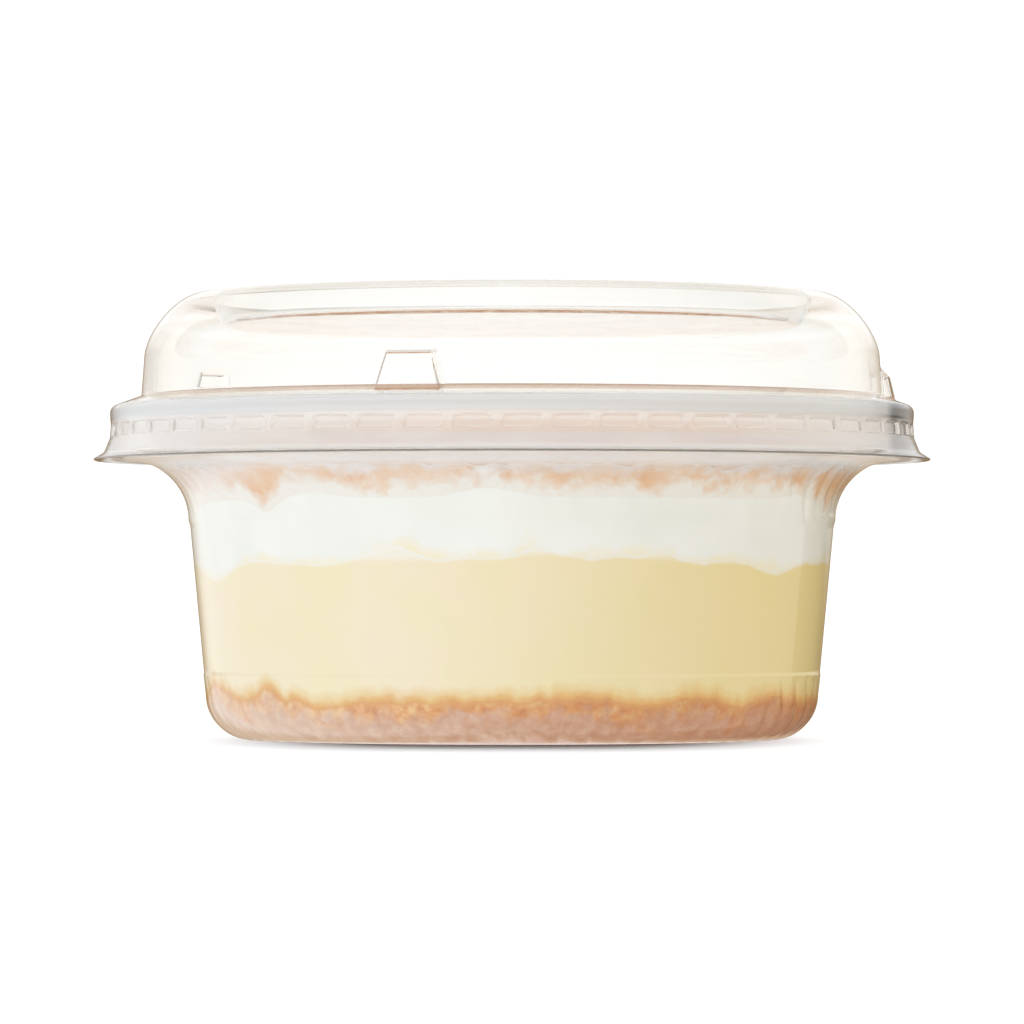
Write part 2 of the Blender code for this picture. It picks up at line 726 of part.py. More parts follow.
def keep_largest_body(mesh):
    """Drop loose scraps, and fill sealed hollows, by keeping the largest joined set of faces."""
    bm = bmesh.new()
    bm.from_mesh(mesh)
    left = set(bm.verts)
    bodies = []
    while left:
        body = set()
        edge = [left.pop()]
        while edge:
            vertex = edge.pop()
            body.add(vertex)
            near = {link.other_vert(vertex) for link in vertex.link_edges} & left
            left -= near
            edge += near
        bodies.append(body)
    bodies.sort(key=len)
    for body in bodies[:-1]:
        bmesh.ops.delete(bm, geom=list(body), context="VERTS")
    bm.to_mesh(mesh)
    bm.free()


def make_topping(look):
    """A heap of crumbs and coconut flakes: a core with the larger pieces fused on it."""
    bm = layer_mesh(cream_top, heap_height, (0.5,), HEAP_RINGS)
    draw = random.Random(TOPPING_SEED)
    inner_top = food_radius(TOPPING_WALL_Z) * HEAP_BUMP_REACH * MM
    for vertex in bm.verts:
        if vertex.co.z > TOPPING_WALL_Z * MM and vertex.co.xy.length < inner_top:
            vertex.co.z += draw.uniform(-HEAP_BUMP, HEAP_BUMP) * MM
    core = finish_object("topping", bm, look)
    fuse(core, topping_pieces())
    keep_largest_body(core.data)
    return core


def main():
    clear_scene()
    clear_plastic = material("clear_plastic", (0.93, 0.94, 0.95), 0.05, transmission=0.95)
    lid_plastic = material("clear_lid_plastic", (0.95, 0.95, 0.96), 0.03, transmission=0.95)
    make_pot(clear_plastic)
    make_lid(lid_plastic)
    make_crumb_base(material("baked_crumb", (0.7, 0.42, 0.26), 0.85))
    custard_look = material("custard", (0.87, 0.78, 0.52), 0.4)
    finish_object("custard", layer_mesh(crumb_top, custard_top, (0.5,)), custard_look)
    cream_look = material("whipped_cream", (0.88, 0.89, 0.84), 0.5)
    finish_object("cream", layer_mesh(custard_top, cream_top, (0.35, 0.7)), cream_look)
    make_topping(material("toasted_coconut", (0.78, 0.5, 0.32), 0.75))


main()
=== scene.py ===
"""Looks of the coconut cream pie in its clear pot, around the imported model.

Sizes are in millimetres until a mesh is made. Heights count from the foot, and angles from the
front, -Y, towards +X. The layers of food reach just into the pot's wall.
"""
import random
from math import acos, copysign, cos, pi, radians, sin, sqrt

import bmesh
import bpy
import numpy as np
from mathutils import Matrix, Vector, noise


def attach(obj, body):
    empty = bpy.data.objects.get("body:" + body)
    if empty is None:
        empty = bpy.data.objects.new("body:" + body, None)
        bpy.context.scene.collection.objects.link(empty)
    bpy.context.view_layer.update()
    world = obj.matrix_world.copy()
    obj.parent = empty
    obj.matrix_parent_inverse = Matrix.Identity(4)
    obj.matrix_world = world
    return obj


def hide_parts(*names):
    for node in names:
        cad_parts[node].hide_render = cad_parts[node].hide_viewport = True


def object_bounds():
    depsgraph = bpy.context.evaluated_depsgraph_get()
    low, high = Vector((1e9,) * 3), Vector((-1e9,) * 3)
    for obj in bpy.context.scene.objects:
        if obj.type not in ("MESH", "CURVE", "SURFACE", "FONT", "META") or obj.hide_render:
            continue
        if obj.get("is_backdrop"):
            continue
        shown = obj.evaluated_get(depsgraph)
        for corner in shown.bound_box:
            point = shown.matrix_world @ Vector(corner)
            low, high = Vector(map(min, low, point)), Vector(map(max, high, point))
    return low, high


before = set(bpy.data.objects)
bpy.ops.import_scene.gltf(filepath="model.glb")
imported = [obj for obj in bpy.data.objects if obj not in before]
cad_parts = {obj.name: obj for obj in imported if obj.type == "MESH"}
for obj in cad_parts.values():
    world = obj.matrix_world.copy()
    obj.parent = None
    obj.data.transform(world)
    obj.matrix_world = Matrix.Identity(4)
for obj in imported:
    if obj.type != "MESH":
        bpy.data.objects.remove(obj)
cad_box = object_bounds()

MM = 0.001
FULL_TURN = 2 * pi

# Camera, as the photo was taken: low, and far away.
CAMERA_DISTANCE = 725
CAMERA_HEIGHT = 15.3
CAMERA_PITCH = radians(0.867)
CAMERA_LENS = 220.2

# Pot: flat foot, round fluted corner, smooth band, fluted flare, collar and rolled rim.
POT_WALL = 0.45
CORNER_RADIUS = 5.2
CORNER_TOP_RADIUS = 35.4
BAND_BOTTOM = (35.6, 7.5)
BAND_TOP = (37.2, 24.7)
BAND_STEP = 0.06
FLARE_RADIUS = 7
FLARE_BOTTOM = (37.4, 25.2)
COLLAR_RADIUS = 45.1
BEAD_RADIUS = 0.62
BEAD_Z = 37.3

# Flutes: saw-toothed ribs that swirl round the corner and up the flare. FLUTE_FADE makes them
# fainter at the left, by the sine of the angle. Each kind has a count and a start.
CORNER_FLUTES = (60, radians(-1.3))
FLARE_FLUTES = (72, radians(2.5))
CORNER_FLUTE_DEPTH = 0.12
FLARE_FLUTE_DEPTH = 0.09
FLUTE_CREST = 0.66
FLUTE_FADE = ((-1, 0.2), (0.35, 1))
FLUTE_TURN = radians(0.5)

# Lid: stacking recess, dome, ledge, shoulder, skirt with lugs, and a drooping brim.
LID_WALL = 0.4
THIN_WALL = 0.2
RECESS = (33.4, 48.1)
CROWN_INNER = (34.6, 51.24)
CROWN = (36.5, 51.36)
DOME_RADIUS = 42.5
DOME_SPRING_Z = 44.3
DOME_ROUNDNESS = 1.53
DOME_FOOT = (42.85, 39.6)
LEDGE_END = (45.5, 38.65)
SHOULDER = (46.5, 38.3)
NECK = (46.38, 36.3)
WAIST = (46.5, 35)
SKIRT_TOP = (46.55, 34.6)
SKIRT_BOTTOM = (47.1, 33.1)
BRIM = (48.36, 32.35)
# Thickness of the lid, by height and by radius.
WALL_BY_HEIGHT = ((BRIM[1], BRIM[1] + 0.2, CROWN_INNER[1] - 0.6, CROWN_INNER[1]),
                  (THIN_WALL, LID_WALL, LID_WALL, THIN_WALL))
WALL_BY_RADIUS = ((34, 37), (THIN_WALL, LID_WALL))

# Lugs pressed into the skirt. The columns crowd at their sides, and the rows at their ends.
LUG_COUNT = 54
LUG_START = radians(-1.95)
LUG_RADIUS = 46.3
LUG_Z = (34.7, 36.35)
LUG_WIDTH = 0.86
LUG_CORNER = 0.6
LUG_EDGES = (0.24, 0.3)
LUG_DEPTH = 0.36
LUG_COLUMN_PLACES = (0, 0.03, 0.055, 0.08, 0.11, 0.15, 0.25, 0.38,
                     0.5, 0.62, 0.75, 0.85, 0.89, 0.92, 0.945, 0.97)
LUG_ROW_HEIGHTS = (36.6, 36.4, 36.32, 36.24, 36.16, 36.08, 36, 35.85, 35.65, 35.4, 35.2, 35.05,
                   34.97, 34.89, 34.81, 34.73, 34.6)

# Three stacking bosses at the foot of the dome: angle, share of the full height, width of the
# slanting sides, and how far each is pressed out.
BOSSES = [(radians(-15.1), 1, 0.55, 1), (radians(93.5), 0.72, 0.55, 1),
          (radians(237.5), 0.92, 0.9, 0.5)]
BOSS_FOOT = (44.4, 39.1)
BOSS_TOP = (43.8, 43)
BOSS_FOOT_HALF = 3.65
BOSS_TOP_HALF = 2.6
BOSS_ROOF_Z = 43.35
BOSS_SPREAD = 24

# Layers, by the height of their top at the wall, and how far they stay inside the pot's surface.
FOOD_INSET = 0.33
CRUMB_TOP_Z = 4.8
CUSTARD_TOP_Z = 20.4
CREAM_TOP_Z = 28.4
TOPPING_WALL_Z = 31.3
TOPPING_HEAP_Z = 36.2
LAYER_RIPPLE = 0.25
WAVE_FADE = 3
HEAP_ROUNDNESS = 3.2
HEAP_LUMP = 0.45

# Rises and dips of each layer where it meets the wall: angle and half width in degrees, height.
CRUMB_WAVES = [(-72, 7, 1.7), (-51, 5, 1), (-36, 5, -0.7), (9, 6, 0.5), (27, 3, -0.7),
               (37, 4, 0.6), (46, 3, -0.8), (57, 4, 0.4), (105, 9, 0.8), (150, 7, -0.6),
               (196, 10, 0.7), (240, 6, -0.5)]
CUSTARD_WAVES = [(-67, 9, -1.7), (8, 17, 0.6), (55, 6, -1.1), (110, 10, 0.7), (148, 8, -0.9),
                 (187, 9, 0.9), (232, 10, -0.6)]
CUSTARD_BUMPS = [(-21, 5, 1.7), (4, 2.5, 0.8), (27.5, 2.5, 1.2)]
CREAM_WAVES = [(-72, 6, -0.6), (-47.5, 3.5, -1.5), (-36, 5, 0.7), (-4, 6, 1), (58, 5, 0.5),
               (74, 6, -1.8), (120, 8, 0.9), (165, 9, -0.9), (210, 7, 0.8), (250, 8, -0.5)]
HEAP_WAVES = [(-40, 9, 0.6), (-4, 5, -0.3), (13, 8, -0.3), (26, 4, 0.6), (36, 5, -0.5),
              (44, 4, 0.2), (51, 5, -0.3), (100, 12, 0.7), (150, 9, -0.7), (200, 12, 0.6)]

# Ragged edges of the layers' tops, upwards: a seed, then a size and a height for each octave.
EDGE_RADIUS = 36
EDGES = [(2, (3, 0.55), (1.2, 0.35)), (5, (6, 0.5), (2, 0.2)),
         (8, (5, 0.6), (1.8, 0.35)), (11, (3, 0.5), (1.3, 0.3))]

# Columns round the pot (a multiple of both kinds of flute), the lid and the food. The rings of a
# layer's top and underside lie at LAYER_SHARES of the way to the wall.
POT_COLUMNS = 720
LID_COLUMNS = 864
FOOD_COLUMNS = 720
FOOD_ANGLE = np.linspace(0, FULL_TURN, FOOD_COLUMNS, endpoint=False)
LAYER_SHARES = (0.05, 0.35, 0.65, 0.88, 0.97)
HEAP_RINGS = 80
SHARP_ANGLE = radians(60)

# Loose pieces on the topping. The heap's fine relief starts within a twelfth of its radius.
RELIEF_START = 12
TOPPING_SEED = 11
CRUMB_COUNT = 1100
CRUMB_SIZES = (0.8, 3)
CRUMB_REACH = 37.3
FLAKE_COUNT = 300
FLAKE_LENGTHS = (3.5, 9)
FLAKE_WIDTHS = (1, 2.6)
FLAKE_THICKNESS = 0.35
FLAKE_REACH = 33
FLAKE_ROWS = 9
FLAKE_COLUMNS = 4

# The studio round the horizon, by degrees from the front towards the right, in linear light: what
# shines in the plastics above and below the horizon, and what lights the food.
WHITE = (1.15, 1.15, 1.15)
TAN = (0.62, 0.5, 0.36)
DARK = (0.12, 0.1, 0.07)
SHINE_ABOVE = [(-180, (0.9, 0.86, 0.78)), (-150, (0.85, 0.86, 0.88)), (-115, WHITE), (110, WHITE),
               (140, (0.85, 0.83, 0.8)), (160, (0.8, 0.75, 0.66))]
SHINE_BELOW = [(-176.5, WHITE), (-175, TAN), (-162, TAN), (-146, (1.3, 1.3, 1.3)),
               (-60, (1.4, 1.4, 1.4)), (0, WHITE), (60, (0.5, 0.49, 0.46)),
               (128, (0.5, 0.49, 0.45)), (129.5, DARK), (166, DARK), (172, TAN), (175, TAN),
               (176.5, WHITE)]
ROOM = [(-180, (0.9, 0.9, 0.9)), (-90, (0.6, 0.62, 0.66)), (0, (0.62, 0.62, 0.62)),
        (90, (0.25, 0.24, 0.22)), (180, (0.9, 0.9, 0.9))]
GLOW = [(-180, (0.88, 0.88, 0.88)), (-60, (0.99, 0.99, 1)), (0, (0.9, 0.9, 0.89)),
        (60, (0.89, 0.84, 0.77)), (120, (0.87, 0.79, 0.65)), (180, (0.88, 0.88, 0.88))]
OVERHEAD = [(-1, 1.1), (0, 1), (0.3, 1), (0.7, 0.7), (1, 0.7)]
# Spans of the direction's height at the horizon and at the open sky, and of its depth at the
# backdrop. A tan oval behind the pot gives its outlines.
HORIZON = (-0.03, -0.005)
OPEN_SKY = (0.09, 0.16)
BACKDROP = (0.5, 0.72)
RIM = (0.3, 0.2, 0.1)
RIM_SIZE = (0.42, 0.2)
RIM_FADE = (0.4, 1, 1, 0)

# Soft boxes: name, place, size, power and colour.
LAMPS = [("key", (-650, -450, 450), 500, 0.8, (1, 1, 1)),
         ("fill", (300, -750, 350), 350, 0.5, (1, 0.95, 0.86)),
         ("top", (0, 150, 800), 600, 1.5, (1, 1, 1))]
LAMP_AIM = Vector((0, 0, 20))

# How bright the table is, by how far from the middle. The sides count as farther.
SHADOW_STRETCH = 2
SHADOW_ROUNDNESS = 2.6
SHADOW = [(0, 0), (36, 0), (40, 0.03), (48, 0.24), (57, 0.54), (66, 0.74), (75, 0.85), (88, 1)]
TABLE_COLOUR = (0.155, 0.17, 0.2)
TABLE_RADIUS = 110
TABLE_Z = -0.02

# The plastics by height: how milky and rough they are, and their colours where they are milky,
# for the lid at its sides and in the middle. WARMTH mixes those two along X.
TOP_Z = 52
TONES_TOP_Z = 60
POT_MILK = [(0, 0), (26, 0), (29, 0.03), (30.3, 0.1), (30.9, 0.24), (31.5, 0.5), (32.1, 0.56),
            (32.6, 0.12), (TOP_Z, 0.12)]
LID_MILK = [(0, 0.3), (36.5, 0.34), (36.8, 0.6), (38.4, 0.6), (38.6, 0), (39, 0),
            (39.05, 0.6), (39.5, 0.75), (39.6, 0), (TOP_Z, 0)]
POT_ROUGH = [(0, 0.02), (25, 0.02), (30, 0.08), (32.3, 0.25), (TOP_Z, 0.25)]
LID_ROUGH = [(0, 0.02), (TOP_Z, 0.02)]
MILK_COLOUR = (0.87, 0.885, 0.92)
LEDGE_COLOUR = (0.62, 0.47, 0.36)
POT_TONES = [(0, MILK_COLOUR), (TONES_TOP_Z, MILK_COLOUR)]
LID_COOL = [(36.5, (0.92, 0.9, 0.88)), (36.8, (0.77, 0.78, 0.79)), (38.6, (0.77, 0.78, 0.79)),
            (39, LEDGE_COLOUR)]
LID_WARM = [(34.1, (0.93, 0.92, 0.93)), (34.4, (0.94, 0.86, 0.8)), (36.5, (0.94, 0.86, 0.8)),
            (36.8, (0.79, 0.79, 0.79)), (38.6, (0.79, 0.79, 0.79)), (39, LEDGE_COLOUR)]
WARMTH = [(-50, 0), (-30, 0.15), (-5, 1), (20, 1), (38, 0.25), (50, 0.2)]
MILKY = 0.12

# The plastics where they are clear, by how edge-on they are seen, and what a long way in them
# takes away. Light that is mirrored in the sheet more often than MOST_MIRRORED is let through.
CLEAR_COLOURS = [(0, (253, 253, 252)), (0.5, (250, 249, 245)), (0.8, (243, 238, 229)),
                 (1, (236, 228, 213))]
PLASTIC_IOR = 1.5
UNEVEN = (9, 0.01)
ABSORPTION = {"Color": (0.5, 0.35, 0.14), "Density": 17}
MOST_MIRRORED = 2
# Painted shade: a dark line along the brim's tip, BRIM_SHADE, up to these heights.
BRIM_TIP = (BRIM[1] + 0.02, BRIM[1] + 0.08)
BRIM_SHADE = (0.2, 0.19, 0.16)
# The tan of an outline, and how edge-on the sheet has to be seen for it. It ends at OUTLINE_END.
POT_EDGE = ((0.82, 0.66, 0.48), 0.83)
LID_EDGE = ((0.4, 0.28, 0.15), 0.7)
OUTLINE_SHARE = 0.85
OUTLINE_END = (45, 47.5)

# The lid's recess, where it is kept clear, and painted shade on the lid in place of dark
# reflections: grey at the recess's ends, dark at the sides of the skirt and in ticks at the lugs'
# walls. Shares along X, spans of height and of how edge-on it is seen.
RECESS_CLEAR = [(0, 0), (47.3, 0), (47.7, 0.9), (48.25, 0.9), (48.6, 0), (TOP_Z, 0)]
RECESS_REFLECTION_GREY = (0.5, 0.55, 0.58)
RECESS_TURNED = (0.55, 0.9, 0, 0.6)
SIDE_SHADE = [(-50, 1), (-46.2, 0.9), (-45.6, 0.5), (-44.6, 0.12), (-42, 0), (37, 0),
              (42.2, 0.4), (43.1, 1), (45, 1), (50, 1)]
SIDE_TURNED = (0.45, 0.65)
SIDE_END = (38.6, 38.9, 1, 0)
SIDE_LOW = (36.2, 36.8, 0.8, 1)
SHADE_COLOUR = (0.05, 0.045, 0.04)
TICKS_FROM = (33, 35)
TICK_WALL = (0.8, 1)
TICK_TURNED = (0.15, 0.35, 0.85, 0)

# Food, as colours from 0 to 255, and the detail and roughness of its finer noises.
CREAM_COLOUR = (243, 244, 240)
CRUMBLY = (4, 0.6)
FOOD_SHINE = 0.1


# Outlines and meshes

def mixed(start, end, share):
    """The value or point that lies this share of the way from start to end."""
    return start + np.subtract(end, start) * share


def smooth(value):
    """A value held between 0 and 1, eased at both ends."""
    held = np.clip(value, 0, 1)
    return held * held * (3 - 2 * held)


def turned_off(angle, origin):
    """The angle from origin, between minus and plus half a turn."""
    return (angle - origin + pi) % FULL_TURN - pi


def ring(radius, angle, height):
    """Points round the axis, in metres. Radius and height may change with the angle."""
    level = height + np.zeros_like(angle)
    return np.stack([radius * np.sin(angle), -radius * np.cos(angle), level], axis=-1) * MM


def bend(before, corner, after, reach, steps=5):
    """Points that round an outline's corner, from this far before it to this far after it."""
    start, end = [corner + away / np.linalg.norm(away) * reach
                  for away in (np.subtract(before, corner), np.subtract(after, corner))]
    return [tuple(mixed(mixed(start, corner, share), mixed(corner, end, share), share))
            for share in np.linspace(0, 1, steps)]


def between(start, end, count):
    """Points spread evenly on the straight run between two points, without its ends."""
    return [tuple(mixed(start, end, (i + 1) / (count + 1))) for i in range(count)]


def normals_of(outline):
    """Unit normals of an outline, to the right of its run."""
    ahead = np.gradient(outline, axis=0)
    ahead /= np.linalg.norm(ahead, axis=1)[:, None]
    return np.stack([ahead[:, 1], -ahead[:, 0]], axis=-1)


def repeated(places, count, start):
    """Where each column lies across the flutes or lugs, and its angle, from the places in one."""
    across = np.tile(places, count)
    number = np.repeat(np.arange(count), len(places))
    return across, start + (number + across) * FULL_TURN / count


def smooth_mesh(name, points, faces):
    """A mesh with smooth shading."""
    mesh = bpy.data.meshes.new(name)
    mesh.from_pydata(points, [], faces)
    mesh.shade_smooth()
    return mesh


def closed_mesh(name, rings):
    """A closed skin over rings of points, with a fan at both ends."""
    count = len(rings[0])
    points = np.concatenate([rings[0].mean(0)[None], *rings, rings[-1].mean(0)[None]])
    last = len(points) - 1
    foot = last - count
    pairs = [(i, (i + 1) % count) for i in range(count)]
    faces = [(n + a, n + b, n + b + count, n + a + count)
             for n in range(1, foot, count) for a, b in pairs]
    faces += [(0, 1 + b, 1 + a) for a, b in pairs]
    faces += [(foot + a, foot + b, last) for a, b in pairs]
    return smooth_mesh(name, points.tolist(), faces)


def add_values(mesh, name, values):
    """Give each point of a mesh a number for its material."""
    mesh.attributes.new(name, "FLOAT", "POINT").data.foreach_set("value", values)


def add_rows(mesh, name, rows):
    """Do so for a closed mesh, ring by ring."""
    add_values(mesh, name, np.concatenate([rows[0][:1], *rows, rows[-1][:1]]))


def add_piece(name, mesh, look, slot, *replaced):
    """Put a mesh in the scene as a piece of the object, in place of the CAD nodes it stands for."""
    made = bpy.data.objects.new(name, mesh)
    bpy.context.scene.collection.objects.link(made)
    mesh.materials.append(look)
    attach(made, "root")
    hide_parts(*replaced)


# Pot

def flutes(count, start):
    """Each column's angle, and how deep the flutes are cut there: not at their crests, and wholly
    at their edges, where the columns crowd."""
    places = [*np.linspace(0, FLUTE_CREST, POT_COLUMNS // count - 2)]
    places += [mixed(FLUTE_CREST, 1, share) for share in (0.4, 0.8)]
    across, angle = repeated(places, count, start)
    rise = np.sin(pi / 2 * np.minimum(across / FLUTE_CREST, 1))
    fall = np.cos(pi / 2 * np.clip((across - FLUTE_CREST) / (1 - FLUTE_CREST), 0, 1))
    return angle, 1 - np.minimum(rise, fall)


def pot_outline():
    """Rows of the pot's outside: radius, height, depth of the corner's and the flare's flutes,
    share of the way from the corner's columns to the flare's, and the run that turns them."""
    straight = BAND_BOTTOM[1] - CORNER_RADIUS
    whole_run = straight + CORNER_RADIUS * pi / 2
    foot_radius = CORNER_TOP_RADIUS - CORNER_RADIUS
    rows = [(foot_radius * share, 0, 0, 0, 0, whole_run) for share in (0.1, 0.4, 0.7, 0.9)]
    for turn in np.radians(np.arange(0, 91, 6)):
        rows.append((foot_radius + CORNER_RADIUS * sin(turn),
                     CORNER_RADIUS * (1 - cos(turn)), sin(turn) ** 0.5, 0, 0,
                     straight + CORNER_RADIUS * (pi / 2 - turn)))
    step_low = (BAND_BOTTOM[0] + BAND_STEP, BAND_BOTTOM[1])
    for share, depth in ((0.35, 1), (0.6, 0.9), (0.8, 0.6), (0.95, 0.3)):
        radius, height = mixed((CORNER_TOP_RADIUS, CORNER_RADIUS), step_low, share)
        rows.append((radius, height, depth, 0, 0, BAND_BOTTOM[1] - height))
    rows.append((*step_low, 0.15, 0, 0, 0))
    rows.append((step_low[0] - BAND_STEP * 0.6, step_low[1] + 0.12, 0, 0, 0, 0))
    start = (BAND_BOTTOM[0], BAND_BOTTOM[1] + 0.25)
    for share in (0.006, 0.03, 0.12, 0.3, 0.5, 0.7, 0.88, 0.97, 0.994):
        rows.append((*mixed(start, BAND_TOP, share), 0, 0, share, 0))
    step_high = (BAND_TOP[0] + BAND_STEP, BAND_TOP[1] + 0.1)
    rows.append((step_high[0] - BAND_STEP * 0.4, step_high[1] - 0.07, 0, 0, 1, 0))
    rows.append((*step_high, 0, 0.1, 1, 0))
    for turn in np.radians(np.arange(0, 86, 5)):
        fade = smooth((radians(76) - turn) / radians(26))
        fade *= min(1, 0.3 + turn / radians(25))
        rows.append((FLARE_BOTTOM[0] + FLARE_RADIUS * (1 - cos(turn)),
                     FLARE_BOTTOM[1] + FLARE_RADIUS * sin(turn), 0, fade, 1, -FLARE_RADIUS * turn))
    lip = (COLLAR_RADIUS, FLARE_BOTTOM[1] + FLARE_RADIUS + 0.05)
    up = (COLLAR_RADIUS, BEAD_Z - BEAD_RADIUS)
    collar = bend((FLARE_BOTTOM[0] + FLARE_RADIUS, lip[1]), lip, up, 0.45) + between(lip, up, 3)
    rows += [(*point, 0, 0, 1, -FLARE_RADIUS * pi / 2) for point in collar]
    return np.array(rows)


def make_pot(look):
    """The clear pot: one thin shell, with a solid bead for its rolled rim."""
    rows = pot_outline()
    corner_angle, corner_cut = flutes(*CORNER_FLUTES)
    flare_angle, flare_cut = flutes(*FLARE_FLUTES)
    outside = []
    inside = []
    for row, normal in zip(rows, normals_of(rows[:, :2])):
        radius, height, corner_depth, flare_depth, share, run = row
        angle = mixed(corner_angle, flare_angle, share) + FLUTE_TURN * run
        strong = np.interp(np.sin(angle), *FLUTE_FADE)
        cut = strong * (CORNER_FLUTE_DEPTH * corner_depth * corner_cut
                        + FLARE_FLUTE_DEPTH * flare_depth * flare_cut)
        for depth, rings in ((cut, outside), (cut + POT_WALL, inside)):
            rings.append(ring(radius - depth * normal[0], angle, height - depth * normal[1]))
    bead_end = pi + acos((POT_WALL + 0.01) / BEAD_RADIUS)
    bead = [ring(COLLAR_RADIUS + BEAD_RADIUS * cos(turn), angle, BEAD_Z + BEAD_RADIUS * sin(turn))
            for turn in np.linspace(-pi / 2, bead_end, 16)]
    mesh = closed_mesh("pot", outside + bead + inside[::-1])
    add_piece("pot_shell", mesh, look, "pot_plastic", "pot")


# Lid

def boss_columns(half_width):
    """Each column's angle round the dome, how far it is pressed out where the bosses are this
    wide, and its boss's share of the full height. Columns crowd at the bosses' sides."""
    even = LUG_START + np.arange(LID_COLUMNS) * FULL_TURN / LID_COLUMNS
    places = [half_width * share for share in (0, 0.14, 0.28, 0.43, 0.57, 0.7, 0.82, 0.91)]
    places += [half_width + shift for shift in (-0.14, -0.04, 0.08, 0.2, 0.32, 0.44, 0.56)]
    counts = [*range(len(places)), BOSS_SPREAD]
    places.append(FULL_TURN * BOSS_FOOT[0] / LID_COLUMNS * BOSS_SPREAD)
    angle = even.copy()
    raised = np.zeros(LID_COLUMNS)
    rises = np.ones(LID_COLUMNS)
    for boss, rise, side, whole in BOSSES:
        first = round((boss - LUG_START) / FULL_TURN * LID_COLUMNS)
        for step in range(-BOSS_SPREAD, BOSS_SPREAD + 1):
            column = (first + step) % LID_COLUMNS
            reach = np.interp(abs(step), counts, places)
            share = smooth((abs(step) - BOSS_SPREAD / 2) / (BOSS_SPREAD / 2))
            near = boss + copysign(reach, step) / BOSS_FOOT[0]
            angle[column] = near + turned_off(even[column], near) * share
            raised[column] = whole * (1 - smooth((reach - half_width - 0.5 + side) / side))
            rises[column] = rise
    return angle, raised, rises


def boss_z(height, rises):
    """The height on a boss that has this share of the full rise. Above the bosses it stays."""
    low = mixed(BOSS_FOOT[1], height, rises)
    return low if BOSS_FOOT[1] < height <= BOSS_ROOF_Z else height + np.zeros_like(rises)


def lug_press(across, height, edge):
    """How far a lug is pressed in, from 0 to 1: a rectangle with round corners and soft edges."""
    pitch = FULL_TURN * LUG_RADIUS / LUG_COUNT
    wide = np.abs(across - 0.5) * pitch - LUG_WIDTH * pitch / 2 + LUG_CORNER
    tall = abs(height - sum(LUG_Z) / 2) - (LUG_Z[1] - LUG_Z[0]) / 2 + LUG_CORNER
    outside = np.hypot(np.maximum(wide, 0), max(tall, 0))
    return smooth((LUG_CORNER - outside - np.minimum(np.maximum(wide, tall), 0)) / edge)


def dome_rows():
    """Rows of the lid down to the ledge's end: the outline's point, the bosses' point and half
    width, and the share of the way from the dome's columns to the lugs'."""
    points = [(RECESS[0] * share, RECESS[1]) for share in (0.1, 0.4, 0.7, 0.9)]
    points += bend((0, RECESS[1]), RECESS, CROWN_INNER, 0.7)
    points += between(points[-1], CROWN_INNER, 3)
    points += bend(RECESS, CROWN_INNER, CROWN, 0.2, 4)
    power = 2 / DOME_ROUNDNESS
    for turn in np.radians([90, 86, 80, 73, 66, 59, 52, 45, 38, 31, 24, 17, 10, 4, 0]):
        across = max(cos(turn), 0) ** power
        points.append((mixed(CROWN[0], DOME_RADIUS, across),
                       mixed(DOME_SPRING_Z, CROWN[1], sin(turn) ** power)))
    rows = [(*point, *point, BOSS_TOP_HALF, 0) for point in points]

    def wall(height):
        share = (DOME_SPRING_Z - height) / (DOME_SPRING_Z - DOME_FOOT[1])
        return mixed(DOME_RADIUS, DOME_FOOT[0], share), height

    roof_edge = mixed(BOSS_TOP, BOSS_FOOT, 0.02)
    roof = [wall(BOSS_ROOF_Z), *between(wall(BOSS_ROOF_Z), BOSS_TOP, 2),
            *bend(wall(BOSS_ROOF_Z), BOSS_TOP, BOSS_FOOT, 0.15, 4)]
    heights = np.linspace(BOSS_ROOF_Z, roof_edge[1], len(roof))
    rows += [(*wall(height), *boss, BOSS_TOP_HALF, 0) for boss, height in zip(roof, heights)]
    for share in (0.12, 0.25, 0.4, 0.55, 0.7, 0.82, 0.91, 0.97):
        rows.append((*wall(mixed(roof_edge[1], DOME_FOOT[1], share)),
                     *mixed(roof_edge, BOSS_FOOT, share),
                     mixed(BOSS_TOP_HALF, BOSS_FOOT_HALF, share), 0))
    for share in (0, 0.04, 0.12, 0.3, 0.5, 0.7, 0.88, 1):
        rows.append((*mixed(DOME_FOOT, LEDGE_END, share), *mixed(BOSS_FOOT, LEDGE_END, share),
                     BOSS_FOOT_HALF, share))
    return rows


def skirt_points():
    """The lid's outline from the ledge's end to the tip of the brim."""
    points = bend(LEDGE_END, SHOULDER, NECK, 0.85, 8)[1:]
    points += [mixed(SHOULDER, NECK, share) for share in (0.62, 0.75)]
    points += [(np.interp(height, (WAIST[1], NECK[1]), (WAIST[0], NECK[0])), height)
               for height in LUG_ROW_HEIGHTS]
    points += between(SKIRT_TOP, SKIRT_BOTTOM, 3) + bend(WAIST, SKIRT_BOTTOM, BRIM, 0.35)
    points += between(points[-1], BRIM, 2)
    return points + [mixed(SKIRT_BOTTOM, BRIM, 0.97), BRIM]


